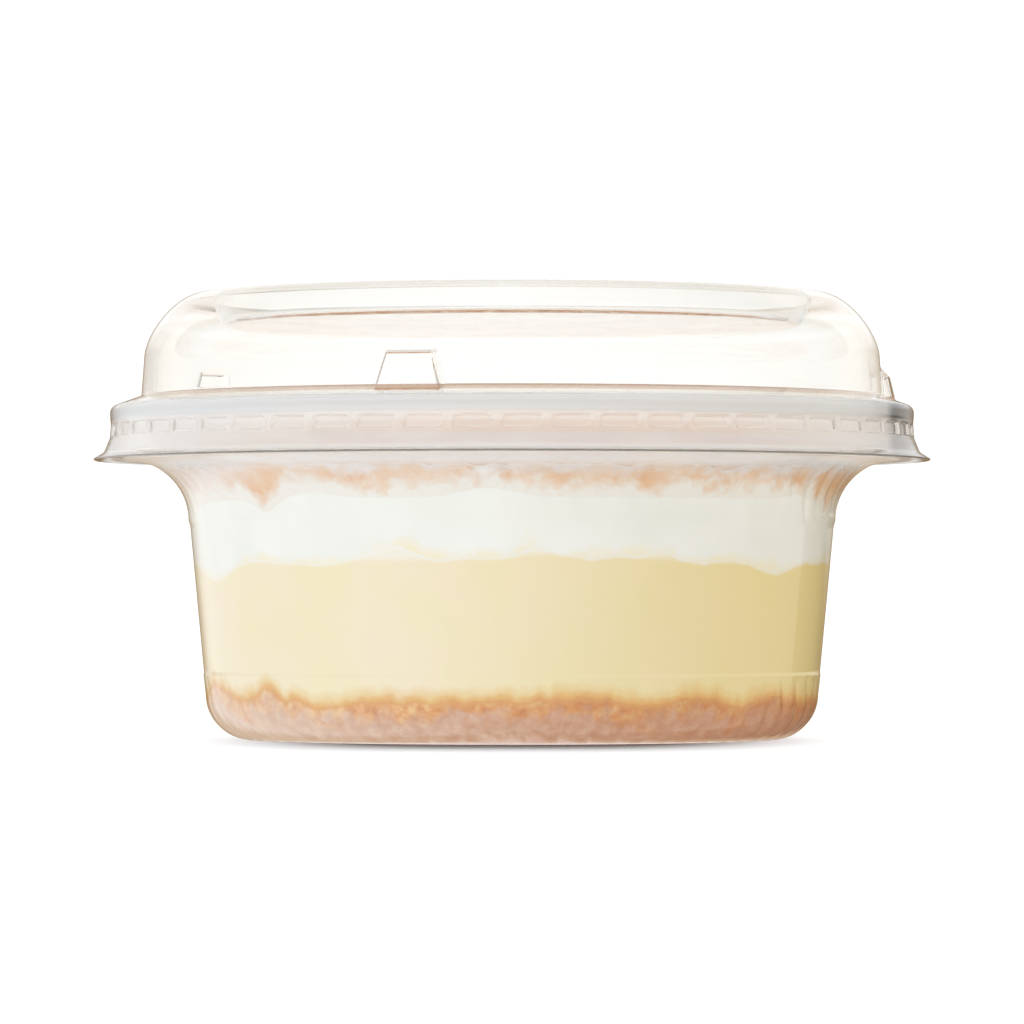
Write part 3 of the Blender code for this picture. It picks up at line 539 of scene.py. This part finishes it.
def make_lid(look):
    """The clear dome lid, one thin shell. Its material reads where the walls of the lugs and the
    side of the recess are, and paints shade there."""
    rows = dome_rows() + [(*p, *p, BOSS_FOOT_HALF, 1) for p in skirt_points()]
    across, lug_angle = repeated(LUG_COLUMN_PLACES, LUG_COUNT, LUG_START)
    outside = []
    inside = []
    walls = []
    recess = []
    for row, normal in zip(rows, -normals_of(np.array(rows)[:, :2])):
        radius, height, boss_radius, boss_height, half_width, share = row
        boss_angle, raised, rises = boss_columns(half_width)
        angle = boss_angle + turned_off(lug_angle, boss_angle) * share
        raised_out = raised * (boss_radius - radius)
        up = raised * (boss_z(boss_height, rises) - height)
        wall = min(np.interp(height, *WALL_BY_HEIGHT), np.interp(radius, *WALL_BY_RADIUS))
        for depth, edge, rings in ((0, LUG_EDGES[0], outside), (wall, LUG_EDGES[1], inside)):
            press = lug_press(across, height, edge)
            out = raised_out - LUG_DEPTH * press
            rings.append(ring(radius + out - depth * normal[0], angle,
                              height + up - depth * normal[1]))
        walls.append(np.abs(np.roll(press, -1) - np.roll(press, 1)))
        recess.append(np.full_like(press, RECESS[1] < height and radius < CROWN_INNER[0]))
    mesh = closed_mesh("lid", inside + outside[::-1])
    add_rows(mesh, "wall", walls + walls[::-1])
    add_rows(mesh, "recess", recess + recess[::-1])
    add_piece("lid_shell", mesh, look, "lid_plastic", "lid")


# Layers of food

def wall_run(height, inset):
    """Length along the wall's inside, this far in, from the floor's edge up to this height."""
    arc = CORNER_RADIUS - inset
    flare = FLARE_RADIUS + inset
    turn = np.arccos(np.clip((CORNER_RADIUS - height) / arc, 0, 1))
    straight = np.clip(height, CORNER_RADIUS, FLARE_BOTTOM[1]) - CORNER_RADIUS
    rise = np.clip((height - FLARE_BOTTOM[1]) / flare, 0, 1)
    return arc * turn + straight + flare * np.arcsin(rise)


def wall_place(run, inset):
    """Radius and height at this length along the wall's inside."""
    arc = CORNER_RADIUS - inset
    flare = FLARE_RADIUS + inset
    rise = FLARE_BOTTOM[1] - CORNER_RADIUS
    slope = (FLARE_BOTTOM[0] - CORNER_TOP_RADIUS) / rise
    corner_turn = np.clip(run / arc, 0, pi / 2)
    straight = np.clip(run - arc * pi / 2, 0, rise)
    flare_turn = np.clip((run - arc * pi / 2 - rise) / flare, 0, pi / 2)
    radius = (CORNER_TOP_RADIUS - CORNER_RADIUS + arc * np.sin(corner_turn) + slope * straight
              + flare * (1 - np.cos(flare_turn)))
    height = CORNER_RADIUS - arc * np.cos(corner_turn) + straight + flare * np.sin(flare_turn)
    return radius, height


def swell(angle, waves):
    """Height that the waves of a layer add at this angle."""
    total = 0
    for degrees, half_width, rise in waves:
        off = np.degrees(turned_off(angle, radians(degrees))) / half_width
        total += rise * np.exp(-off * off)
    return total


def layer_top(level, waves):
    """A layer's top: its height by the share of the way from the middle to the wall."""
    rise = swell(FOOD_ANGLE, waves)
    ripple = LAYER_RIPPLE * np.sin(3 * FOOD_ANGLE + 1)
    return lambda share: level + rise * share ** WAVE_FADE + ripple * share * (1 - share)


crumb_top = layer_top(CRUMB_TOP_Z, CRUMB_WAVES)
custard_top = layer_top(CUSTARD_TOP_Z, CUSTARD_WAVES + CUSTARD_BUMPS)
cream_top = layer_top(CREAM_TOP_Z, CREAM_WAVES)


def heap_top(share, angle=FOOD_ANGLE):
    """Height of the topping's heap, low at the wall and round on top."""
    heap = (TOPPING_HEAP_Z - TOPPING_WALL_Z) * (1 - share ** HEAP_ROUNDNESS)
    lumps = HEAP_LUMP * np.sin(5 * angle + 4 * share) * np.sin(7 * share + 2 * angle)
    edge = swell(angle, HEAP_WAVES) * share ** WAVE_FADE
    return TOPPING_WALL_Z + heap + edge + lumps * (1 - share)


def ragged(seed, *octaves):
    """Small rises and dips along a layer's edge: each octave is a size and a height."""
    total = np.zeros(FOOD_COLUMNS)
    for size, height in octaves:
        reach = EDGE_RADIUS / size
        total += [height * noise.noise((reach * sin(a), reach * cos(a), seed)) for a in FOOD_ANGLE]
    return total


crumb_edge, custard_edge, cream_edge, topping_edge = [ragged(*octaves) for octaves in EDGES]


def layer_rows(low, high, inset, side_rows, behind, edge, seen=0):
    """Rings over a layer between two tops, up along the wall, where it starts this far behind the
    top of the layer below. With each ring come the depths of its points below the layer's edge,
    and their rises above the edge seen below it."""
    foot = low(1) + behind if low else np.full(FOOD_COLUMNS, inset)
    seen_foot = low(1) + seen if low else foot
    top = high(1) + edge
    first = wall_run(foot, inset)
    last = wall_run(top, inset)
    foot_radius = wall_place(first, inset)[0]
    top_radius = wall_place(last, inset)[0]
    places = [(foot_radius * share, low(share) if low else inset, foot) for share in LAYER_SHARES]
    for share in np.linspace(0, 1, side_rows):
        radius, height = wall_place(mixed(first, last, share), inset)
        places.append((radius, height, height))
    places += [(top_radius * share, high(share), top) for share in reversed(LAYER_SHARES)]
    return [(ring(radius, FOOD_ANGLE, height), top - level, level - seen_foot)
            for radius, height, level in places]


def layer_mesh(name, rows):
    """A layer's closed mesh. Its material reads the depths and the rises."""
    rings, depths, rises = zip(*rows)
    mesh = closed_mesh(name, rings)
    mesh.set_sharp_from_angle(angle=SHARP_ANGLE)
    add_rows(mesh, "depth", depths)
    add_rows(mesh, "rise", rises)
    return mesh


def make_crumb_base(look):
    """Crumbs pressed flat on the pot's floor."""
    rows = layer_rows(None, crumb_top, FOOD_INSET - 0.03, 26, behind=0, edge=crumb_edge)
    add_piece("crumb_layer", layer_mesh("crumb_base", rows), look, "baked_crumb", "crumb_base")


def make_custard(look):
    """Set custard. Its material also reads how far each point is above the level top."""
    rows = layer_rows(crumb_top, custard_top, FOOD_INSET, 48, -1.2, custard_edge, crumb_edge)
    mesh = layer_mesh("custard", rows)
    level = layer_top(CUSTARD_TOP_Z, CUSTARD_WAVES)(1)
    add_rows(mesh, "over", [points[:, 2] / MM - level for points, _, _ in rows])
    add_piece("custard_layer", mesh, look, "custard", "custard")


def make_cream(look):
    """Whipped cream."""
    rows = layer_rows(custard_top, cream_top, FOOD_INSET + 0.03, 30, -0.9, cream_edge, custard_edge)
    add_piece("cream_layer", layer_mesh("cream", rows), look, "whipped_cream", "cream")


# Topping

def heap_relief(x, y):
    """Fine relief of the heap: soft lumps with crumb-sized bumps on them."""
    spot = Vector((x, y, 0))
    lumps = 0.45 * noise.noise(spot / 4)
    near = noise.voronoi(spot / 1.9)[0]
    bumps = 0.5 * (0.45 - near[0]) + 0.25 * (0.4 - noise.voronoi(spot / 0.9)[0][0])
    return lumps + bumps


def make_topping(look):
    """The topping's core: crumbs packed against the wall below, and a rough heap on top."""
    inset = FOOD_INSET - 0.02
    side_rows = 16
    rows = layer_rows(cream_top, heap_top, inset, side_rows, -1, topping_edge, cream_edge)
    rows = rows[:len(LAYER_SHARES) + side_rows]
    rim = wall_place(wall_run(heap_top(1) + topping_edge, inset), inset)[0]
    depth = np.full(FOOD_COLUMNS, TOPPING_WALL_Z)
    for share in np.linspace(1, 0, HEAP_RINGS)[1:-1]:
        radius = rim * share
        plain = heap_top(share) + topping_edge * max(0, share * 8 - 7)
        relief = np.array([heap_relief(r * sin(a), -r * cos(a)) for r, a in zip(radius, FOOD_ANGLE)])
        height = plain + relief * min(1, (1 - share) * RELIEF_START)
        rows.append((ring(radius, FOOD_ANGLE, height), depth, depth - CREAM_TOP_Z))
    add_piece("topping_core", layer_mesh("topping", rows), look, "toasted_coconut", "topping")


def heap_spot(radius, angle):
    """The point on the heap at this radius and angle."""
    share = radius / wall_place(wall_run(TOPPING_WALL_Z, FOOD_INSET), FOOD_INSET)[0]
    x = radius * sin(angle)
    y = -radius * cos(angle)
    relief = heap_relief(x, y) * min(1, (1 - share) * RELIEF_START)
    return Vector((x, y, float(heap_top(share, angle)) + relief))


def heap_tilt(radius, angle):
    """The turn from upright to the heap's slope at this radius and angle."""
    step = 0.8
    outward = heap_spot(radius + step, angle) - heap_spot(radius - step, angle)
    around = heap_spot(radius, angle + step / radius) - heap_spot(radius, angle - step / radius)
    return Vector((0, 0, 1)).rotation_difference(outward.cross(around)).to_matrix()


def heap_places(draw, count, reach):
    """Radius and angle of spots spread evenly over the heap, each moved a little."""
    golden = pi * (3 - sqrt(5))
    for i in range(count):
        radius = reach * sqrt((i + 0.5) / count) * draw.uniform(0.97, 1.03)
        yield min(radius, reach), i * golden + draw.uniform(-0.05, 0.05)


def add_loose(name, look, parts, **values):
    """Add a piece of many (points, faces). Each of the values has a number for every point."""
    points = []
    faces = []
    for part_points, part_faces in parts:
        first = len(points)
        points += [tuple(point * MM) for point in part_points]
        faces += [tuple(first + i for i in face) for face in part_faces]
    mesh = smooth_mesh(name, points, faces)
    for key, numbers in values.items():
        add_values(mesh, key, numbers)
    add_piece(name, mesh, look, "toasted_coconut", "topping")


def icosphere():
    """Points and triangles of a ball of radius 1 with 80 faces."""
    bm = bmesh.new()
    bmesh.ops.create_icosphere(bm, subdivisions=2, radius=1)
    points = [vertex.co.copy() for vertex in bm.verts]
    faces = [tuple(vertex.index for vertex in face.verts) for face in bm.faces]
    bm.free()
    return points, faces


def make_crumbs(look):
    """Loose crumbs on the heap, most of them small."""
    draw = random.Random(TOPPING_SEED)
    ball, faces = icosphere()
    parts = []
    tones = []
    for radius, angle in heap_places(draw, CRUMB_COUNT, CRUMB_REACH):
        size = mixed(*CRUMB_SIZES, draw.random() ** 2.2)
        turn = Matrix.Rotation(draw.uniform(0, FULL_TURN), 3, "Z")
        turn @= Matrix.Rotation(draw.uniform(-1, 1), 3, "X")
        squash = Matrix.Diagonal((1, draw.uniform(0.65, 1), draw.uniform(0.5, 0.85)))
        shift = Vector([draw.uniform(0, 100) for _ in range(3)])
        spot = heap_spot(radius, angle) + Vector((0, 0, size * draw.uniform(0, 0.25)))
        points = []
        for point in ball:
            coarse = 0.35 * noise.noise(point * 1.6 + shift)
            lump = 1 + coarse + 0.15 * noise.noise(point * 4 + shift)
            points.append(spot + turn @ (squash @ (point * (lump * size / 2))))
        parts.append((points, faces))
        tones += [draw.random()] * len(points)
    add_loose("loose_crumbs", look, parts, tone=tones)


def flake(draw):
    """Points of a curled coconut flake that lies along X, and how near its edges they are."""
    length = draw.uniform(*FLAKE_LENGTHS)
    width = draw.uniform(*FLAKE_WIDTHS) * (0.6 + 0.4 * length / FLAKE_LENGTHS[1])
    curl = draw.uniform(0.05, 0.22) * draw.choice((-1, 1, 1))
    cup = draw.uniform(-0.12, 0.22)
    twist = draw.uniform(-0.5, 0.5)
    points = []
    shares = []
    for side in (-1, 1):
        for along in (2 * i / (FLAKE_ROWS - 1) - 1 for i in range(FLAKE_ROWS)):
            half = width / 2 * (1 - 0.55 * abs(along) ** 2.5) * (1 + draw.uniform(-0.08, 0.08))
            for across in (2 * k / (FLAKE_COLUMNS - 1) - 1 for k in range(FLAKE_COLUMNS)):
                y = across * half
                lift = curl * length * along * along / 2 + cup * width * across * across
                z = lift + twist * along * y + side * FLAKE_THICKNESS / 2
                points.append(Vector((along * length / 2, y, z)))
                shares.append(max(abs(across) ** 3, abs(along) ** 5))
    return points, shares


def flake_faces():
    """Faces of a flake: its underside, its top and the strip that joins them."""
    layer = FLAKE_ROWS * FLAKE_COLUMNS
    faces = []
    for i in range(FLAKE_ROWS - 1):
        for a in range(i * FLAKE_COLUMNS, (i + 1) * FLAKE_COLUMNS - 1):
            quad = (a, a + FLAKE_COLUMNS, a + FLAKE_COLUMNS + 1, a + 1)
            faces += [quad, tuple(layer + v for v in reversed(quad))]
    grid = np.arange(layer).reshape(FLAKE_ROWS, FLAKE_COLUMNS)
    sides = [grid[0], grid[1:, -1], grid[-1, -2::-1], grid[-2:0:-1, 0]]
    border = np.concatenate(sides).tolist()
    return faces + [(a, b, layer + b, layer + a) for a, b in zip(border, border[1:] + border[:1])]


def make_flakes(look):
    """Toasted coconut flakes that lie on the heap at all angles."""
    draw = random.Random(TOPPING_SEED + 1)
    faces = flake_faces()
    parts = []
    tones = []
    edges = []
    for radius, angle in heap_places(draw, FLAKE_COUNT, FLAKE_REACH):
        points, shares = flake(draw)
        turn = heap_tilt(max(radius, 1.5), angle)
        turn @= Matrix.Rotation(draw.uniform(0, FULL_TURN), 3, "Z")
        turn @= Matrix.Rotation(draw.gauss(0, 0.16), 3, "Y")
        turn @= Matrix.Rotation(draw.gauss(0, 0.3), 3, "X")
        spot = heap_spot(radius, angle) + Vector((0, 0, draw.uniform(0.2, 0.8)))
        parts.append(([spot + turn @ point for point in points], faces))
        tones += [draw.random()] * len(points)
        edges += shares
    add_loose("coconut_flakes", look, parts, tone=tones, edge=edges)


# Materials

def linear(red, green, blue):
    """A colour given as it is seen, 0 to 255, in linear light."""
    parts = [value / 255 for value in (red, green, blue)]
    return tuple(p / 12.92 if p < 0.04045 else ((p + 0.055) / 1.055) ** 2.4 for p in parts)


class Nodes:
    """The nodes of a material or of the world. A value is a number, a colour in linear light or
    another node's output."""

    def __init__(self, owner, output):
        owner.use_nodes = True
        self.tree = owner.node_tree
        self.tree.nodes.clear()
        self.output = self.add(output)

    def put(self, value, socket):
        """Give a value to an input."""
        if isinstance(value, bpy.types.NodeSocket):
            self.tree.links.new(value, socket)
        else:
            socket.default_value = (*value, 1) if socket.type == "RGBA" else value

    def add(self, kind, inputs=(), **settings):
        """A node with these settings and inputs, by name or in order."""
        node = self.tree.nodes.new("ShaderNode" + kind)
        for key, value in settings.items():
            setattr(node, key, value)
        for key, value in inputs.items() if isinstance(inputs, dict) else enumerate(inputs):
            self.put(value, node.inputs[key])
        return node

    def end(self, **shaders):
        """Link shaders to the output node."""
        for key, shader in shaders.items():
            self.put(shader.outputs[0], self.output.inputs[key])

    def math(self, operation, *values):
        """The result of a calculation."""
        return self.add("Math", values, operation=operation).outputs[0]

    def product(self, first, second):
        """One value times another."""
        return self.math("MULTIPLY", first, second)

    def span(self, value, low, high, start=0, end=1):
        """A value taken from low to high onto start to end, and held there."""
        return self.add("MapRange", (value, low, high, start, end)).outputs[0]

    def mix(self, share, one, other):
        """Two colours mixed by a share."""
        return self.add("Mix", {0: share, 6: one, 7: other}, data_type="RGBA").outputs[2]

    def tones(self, share, stops, low=0, high=1):
        """A colour ramp over a share. Each stop is a place from low to high, and a colour."""
        made = self.add("ValToRGB", [share])
        points = made.color_ramp.elements
        while len(points) < len(stops):
            points.new(0.5)
        for point, (place, colour) in zip(points, stops):
            point.position = (place - low) / (high - low)
            point.color = (*colour, 1)
        return made.outputs[0]

    def ramp(self, value, *stops):
        """A colour ramp with colours as they are seen."""
        return self.tones(value, [(place, linear(*colour)) for place, colour in stops])

    def curve(self, value, stops):
        """A number that follows a value along straight runs. Each stop is a value and a number."""
        low = stops[0][0]
        high = stops[-1][0]
        made = self.add("FloatCurve", {"Value": self.span(value, low, high)})
        made.mapping.use_clip = False
        points = made.mapping.curves[0].points
        while len(points) < len(stops):
            points.new(0.5, 0.5)
        for point, (place, number) in zip(points, stops):
            point.location = ((place - low) / (high - low), number)
            point.handle_type = "VECTOR"
        made.mapping.update()
        return made.outputs[0]

    def axis(self, axis):
        """Where a point lies along an axis, in millimetres."""
        place = self.add("TexCoord").outputs["Object"]
        return self.math("DIVIDE", self.add("SeparateXYZ", [place]).outputs[axis], MM)

    def attribute(self, name):
        """A number that the mesh holds at each point."""
        return self.add("Attribute", attribute_name=name).outputs["Fac"]

    def noise(self, size, detail=3, roughness=0.5):
        """A noise from 0 to 1 over the object, with lumps of this size in millimetres."""
        place = self.add("TexCoord").outputs["Object"]
        return self.add("TexNoise", {"Vector": place, "Scale": 1 / (size * MM), "Detail": detail,
                                     "Roughness": roughness}).outputs[0]

    def bump(self, height, distance):
        """A normal that stands for relief this deep, in millimetres."""
        return self.add("Bump", {"Height": height, "Distance": distance * MM}).outputs[0]

    def edge(self, name, size, spread, near, far):
        """1 at a layer's edge and 0 away from it, by the mesh's value of this name, which lumps
        of this size and spread make uneven."""
        uneven = self.span(self.noise(size, *CRUMBLY), 0.25, 0.75, -spread, spread)
        return self.span(self.math("ADD", self.attribute(name), uneven), near, far, 1, 0)


def new_material(name):
    """A material and its nodes."""
    made = bpy.data.materials.new(name)
    return made, Nodes(made, "OutputMaterial")


def clear_plastic(name, rough, milk, toned, outlined, shade, with_painted_shade):
    """Clear plastic, rough and milky by these amounts at these heights, and tan where it is seen
    edge-on. It lets the lamps through, and light that has been caught in the sheet for long."""
    made, net = new_material(name)
    height = net.axis("Z")
    milky = net.curve(height, milk)
    facing = net.add("LayerWeight", {"Blend": 0.5}).outputs["Facing"]
    share = net.span(height, 0, TONES_TOP_Z)
    tone = net.mix(net.curve(net.axis("X"), WARMTH),
                   *[net.tones(share, stops, 0, TONES_TOP_Z) for stops in toned])
    colour = net.mix(net.span(milky, 0, MILKY), net.ramp(facing, *CLEAR_COLOURS), tone)
    outline = net.product(net.span(height, *OUTLINE_END, 1, 0),
                          net.span(facing, outlined[1], 1, 0, OUTLINE_SHARE))
    colour = net.mix(outline, colour, outlined[0])
    colour = net.mix(net.curve(height, RECESS_CLEAR), colour, (1, 1, 1))
    # Painted shade at the lid's sides, lugs and recess.
    if with_painted_shade:
        colour = painted_lid_shade(net, height, facing, colour)
    glass = net.add("BsdfPrincipled", {
        "Base Color": net.mix(net.span(height, *BRIM_TIP, shade, 1), BRIM_SHADE, colour),
        "Roughness": net.curve(height, rough), "IOR": PLASTIC_IOR,
        "Transmission Weight": net.math("SUBTRACT", 1, milky),
        "Normal": net.bump(net.noise(UNEVEN[0], detail=1), UNEVEN[1])})
    path = net.add("LightPath").outputs
    lamps = net.math("MAXIMUM", path["Is Shadow Ray"], path["Is Diffuse Ray"])
    caught = net.math("GREATER_THAN", path["Glossy Depth"], MOST_MIRRORED)
    clear = net.add("BsdfTransparent").outputs[0]
    both = net.add("MixShader", (net.math("MAXIMUM", lamps, caught), glass.outputs[0], clear))
    net.end(Surface=both, Volume=net.add("VolumeAbsorption", ABSORPTION))
    return made


def painted_lid_shade(net, height, facing, colour):
    """The lid's colour with painted shade, in place of dark reflections: darker at the sides of its
    skirt and lugs and at the recess's ends.
    """
    across = net.axis("X")
    turned = net.product(net.curve(across, SIDE_SHADE), net.span(facing, *SIDE_TURNED))
    skirt = net.product(net.span(height, *SIDE_END), net.span(height, *SIDE_LOW))
    far = net.span(net.math("ABSOLUTE", across), *TICKS_FROM)
    wall = net.product(net.span(net.attribute("wall"), *TICK_WALL), net.span(facing, *TICK_TURNED))
    painted_shade_mask = net.math("MAXIMUM", net.product(turned, skirt), net.product(far, wall))
    painted_reflection_mask = net.product(net.attribute("recess"), net.span(facing, *RECESS_TURNED))
    return net.mix(painted_shade_mask, net.mix(painted_reflection_mask, colour, RECESS_REFLECTION_GREY), SHADE_COLOUR)


def soft_food(name, colour, roughness, size, deep):
    """A food, from the function that makes its colour, and its grain's size and depth."""
    made, net = new_material(name)
    net.end(Surface=net.add("BsdfPrincipled", {
        "Base Color": colour(net), "Roughness": roughness, "Specular IOR Level": FOOD_SHINE,
        "Normal": net.bump(net.noise(size, *CRUMBLY), deep)}))
    return made


def crumb_colour(net):
    """Golden near the top and pinkish beige below. Painted light makes it pale at the left, and
    painted shade makes it browner to the right.
    """
    beige = net.ramp(net.noise(1.6, *CRUMBLY), (0.3, (202, 154, 128)), (0.5, (213, 175, 151)),
                     (0.7, (225, 196, 176)))
    golden = net.ramp(net.noise(1.4, *CRUMBLY), (0.33, (206, 134, 84)),
                      (0.5, (229, 168, 108)), (0.66, (240, 202, 142)))
    across = net.axis("X")
    both = net.mix(net.edge("depth", 2.2, 1.9, 0.5, 2.4), beige, golden)
    # Painted shade: browner towards the right, away from the key lamp.
    painted_shade_right = net.mix(net.span(across, -20, 36, 0, 0.6), both, linear(190, 122, 82))
    # Painted light: paler at the left, near the key lamp.
    body = net.mix(net.span(across, -36, -8, 0.4, 0), painted_shade_right, linear(242, 226, 208))
    return net.mix(net.edge("depth", 1.4, 0.4, -0.1, 0.6), body, linear(224, 170, 110))


def custard_colour(net):
    """Pale yellow, made a deeper yellow to the right by painted shade, with golden crumbs at the
    bottom, and with a little cream along its top edge and on its bumps."""
    cream = linear(*CREAM_COLOUR)
    plain = net.ramp(net.noise(9), (0.3, (243, 231, 206)), (0.5, (242, 232, 201)),
                     (0.7, (241, 232, 194)))
    # Painted shade: a deeper yellow towards the right, away from the key lamp.
    deep = net.mix(net.span(net.axis("X"), -12, 42), plain, linear(237, 218, 153))
    pale = net.mix(net.edge("depth", 2, 0.15, -0.1, 0.45), deep, cream)
    body = net.mix(net.span(net.attribute("over"), -0.3, 0.5, 0, 0.65), pale, cream)
    glow = net.mix(net.edge("rise", 2.5, 0.5, 0.1, 1.9), body, linear(232, 196, 128))
    return net.mix(net.edge("rise", 1.4, 0.35, 0, 0.8), glow, linear(228, 178, 116))


def cream_colour(net):
    """Soft white, with a little custard in it at the bottom."""
    plain = net.ramp(net.noise(6, 2), (0.3, (238, 241, 236)), (0.7, (244, 246, 243)))
    return net.mix(net.edge("rise", 5, 1.6, -0.8, 0.9), plain, linear(244, 236, 206))


def topping_colour(net):
    """Peach and orange blotches, paler at the top edge and, by painted light, at the left, with
    cream below.
    """
    plain = net.ramp(net.noise(5), (0.26, (238, 224, 212)), (0.38, (236, 206, 178)),
                     (0.55, (233, 192, 152)), (0.72, (226, 172, 128)))
    # Paler at the top edge, and at the left by painted light.
    fade = net.math("MAXIMUM", net.edge("depth", 3, 1.5, -0.1, 1.4),
                    net.span(net.axis("X"), -34, -28, 0.85, 0))
    both = net.mix(fade, plain, linear(234, 224, 218))
    return net.mix(net.edge("rise", 2.4, 1.2, -0.2, 1.4), both, linear(240, 238, 232))


def loose_crumb_colour(net):
    """Each crumb has its own brown, with fine specks."""
    base = net.ramp(net.attribute("tone"), (0, (196, 122, 74)), (0.4, (222, 158, 104)),
                    (0.8, (236, 190, 140)), (1, (240, 214, 176)))
    return net.mix(net.span(net.noise(0.5), 0.35, 0.65), linear(206, 138, 88), base)


def flake_colour(net):
    """Ivory flakes, toasted brown along their edges, some more than others."""
    toast = net.product(net.attribute("edge"), net.attribute("tone"))
    mottle = net.span(net.noise(1.5), 0.3, 0.7, -0.12, 0.2)
    return net.ramp(net.math("ADD", toast, mottle), (0, (248, 238, 220)),
                    (0.25, (242, 216, 176)), (0.6, (222, 168, 112)), (1, (178, 112, 64)))


# Studio

def make_world():
    """A studio that is plain white where it is seen. What shines in the plastics is bright at the
    left, and darker at the right and low down."""
    world = bpy.data.worlds.new("studio")
    bpy.context.scene.world = world
    net = Nodes(world, "OutputWorld")
    where = net.add("TexCoord").outputs["Generated"]
    sides = net.add("SeparateXYZ", [where]).outputs
    angle = net.math("ARCTAN2", sides["X"], net.product(sides["Y"], -1))
    turn = net.span(angle, -pi, pi)
    below, above, room, glow = [net.tones(turn, stops, -180, 180)
                                for stops in (SHINE_BELOW, SHINE_ABOVE, ROOM, GLOW)]
    level = net.mix(net.span(sides["Z"], *HORIZON), below, above)
    higher = net.mix(net.span(sides["Z"], *OPEN_SKY), level, WHITE)
    wide, tall = RIM_SIZE
    flat = net.add("VectorMath", (where, (1 / wide, 0, 1 / tall)), operation="MULTIPLY")
    off = net.add("VectorMath", flat.outputs[:1], operation="LENGTH").outputs["Value"]
    rim = net.product(net.span(off, *RIM_FADE), net.math("GREATER_THAN", sides["Y"], 0))
    through = net.mix(net.span(sides["Y"], *BACKDROP), room, WHITE)
    path = net.add("LightPath").outputs
    lit = net.mix(path["Is Glossy Ray"], glow, net.mix(rim, higher, RIM))
    sharp = net.mix(path["Is Transmission Ray"], lit, through)
    seen = net.math("MAXIMUM", path["Is Camera Ray"], path["Is Transmission Ray"])
    net.end(Surface=net.add("Background", {
        "Color": net.mix(path["Is Camera Ray"], sharp, WHITE),
        "Strength": net.math("MAXIMUM", seen, net.curve(sides["Z"], OVERHEAD))}))


def make_floor():
    """A white table with a shadow. It is there only where the camera sees it directly."""
    bpy.ops.mesh.primitive_circle_add(vertices=128, radius=TABLE_RADIUS * MM, fill_type="NGON",
                                      location=(0, 0, TABLE_Z * MM))
    floor = bpy.context.object
    floor.name = "floor"
    made, net = new_material("white_table")
    aside = net.product(net.axis("X"), SHADOW_STRETCH)
    powers = [net.math("POWER", net.math("ABSOLUTE", value), SHADOW_ROUNDNESS)
              for value in (aside, net.axis("Y"))]
    away = net.math("POWER", net.math("ADD", *powers), 1 / SHADOW_ROUNDNESS)
    table = net.add("BsdfPrincipled", {
        "Base Color": TABLE_COLOUR, "Roughness": 0.6, "Specular IOR Level": 0.2,
        "Emission Color": (1, 1, 1), "Emission Strength": net.curve(away, SHADOW)})
    seen = net.add("LightPath").outputs["Is Camera Ray"]
    clear = net.add("BsdfTransparent").outputs[0]
    net.end(Surface=net.add("MixShader", (seen, clear, table.outputs[0])))
    floor.data.materials.append(made)
    floor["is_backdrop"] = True


def make_lights():
    """Square soft boxes that look at the pot."""
    for name, place, size, power, colour in LAMPS:
        light = bpy.data.lights.new(name, "AREA")
        light.shape = "SQUARE"
        light.size = size * MM
        light.energy = power
        light.color = colour
        made = bpy.data.objects.new(name, light)
        made.location = Vector(place) * MM
        made.rotation_euler = (LAMP_AIM - Vector(place)).to_track_quat("-Z", "Y").to_euler()
        made.visible_camera = False
        made.visible_glossy = False
        made.visible_transmission = False
        bpy.context.scene.collection.objects.link(made)


def make_camera():
    """The camera, at the photo's height and angle."""
    data = bpy.data.cameras.new("camera")
    data.lens = CAMERA_LENS
    data.sensor_fit = "HORIZONTAL"
    made = bpy.data.objects.new("camera", data)
    made.location = Vector((0, -CAMERA_DISTANCE, CAMERA_HEIGHT)) * MM
    made.rotation_euler = (pi / 2 + CAMERA_PITCH, 0, 0)
    bpy.context.scene.collection.objects.link(made)
    bpy.context.scene.camera = made


def write_sizes():
    """Work out the CAD model's box and the visual model's box."""
    boxes = {name: [[float(x) for x in corner] for corner in box]
             for name, box in (("cad", cad_box), ("visual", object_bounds()))}


def main():
    """Build every piece, then the studio."""
    make_pot(clear_plastic("pot_plastic", POT_ROUGH, POT_MILK, [POT_TONES] * 2, POT_EDGE,
                           shade=1, with_painted_shade=False))
    make_lid(clear_plastic("lid_plastic", LID_ROUGH, LID_MILK, (LID_COOL, LID_WARM), LID_EDGE,
                           shade=0, with_painted_shade=True))
    make_crumb_base(soft_food("baked_crumb", crumb_colour, 0.8, 0.7, 0.25))
    make_custard(soft_food("custard", custard_colour, 0.45, 3, 0.05))
    make_cream(soft_food("whipped_cream", cream_colour, 0.5, 3, 0.05))
    make_topping(soft_food("toasted_topping", topping_colour, 0.8, 0.6, 0.2))
    make_crumbs(soft_food("toasted_crumbs", loose_crumb_colour, 0.8, 0.4, 0.1))
    make_flakes(soft_food("toasted_flakes", flake_colour, 0.6, 0.5, 0.05))
    make_world()
    make_floor()
    make_lights()
    make_camera()
    bpy.context.scene.view_settings.view_transform = "Standard"
    write_sizes()


main()
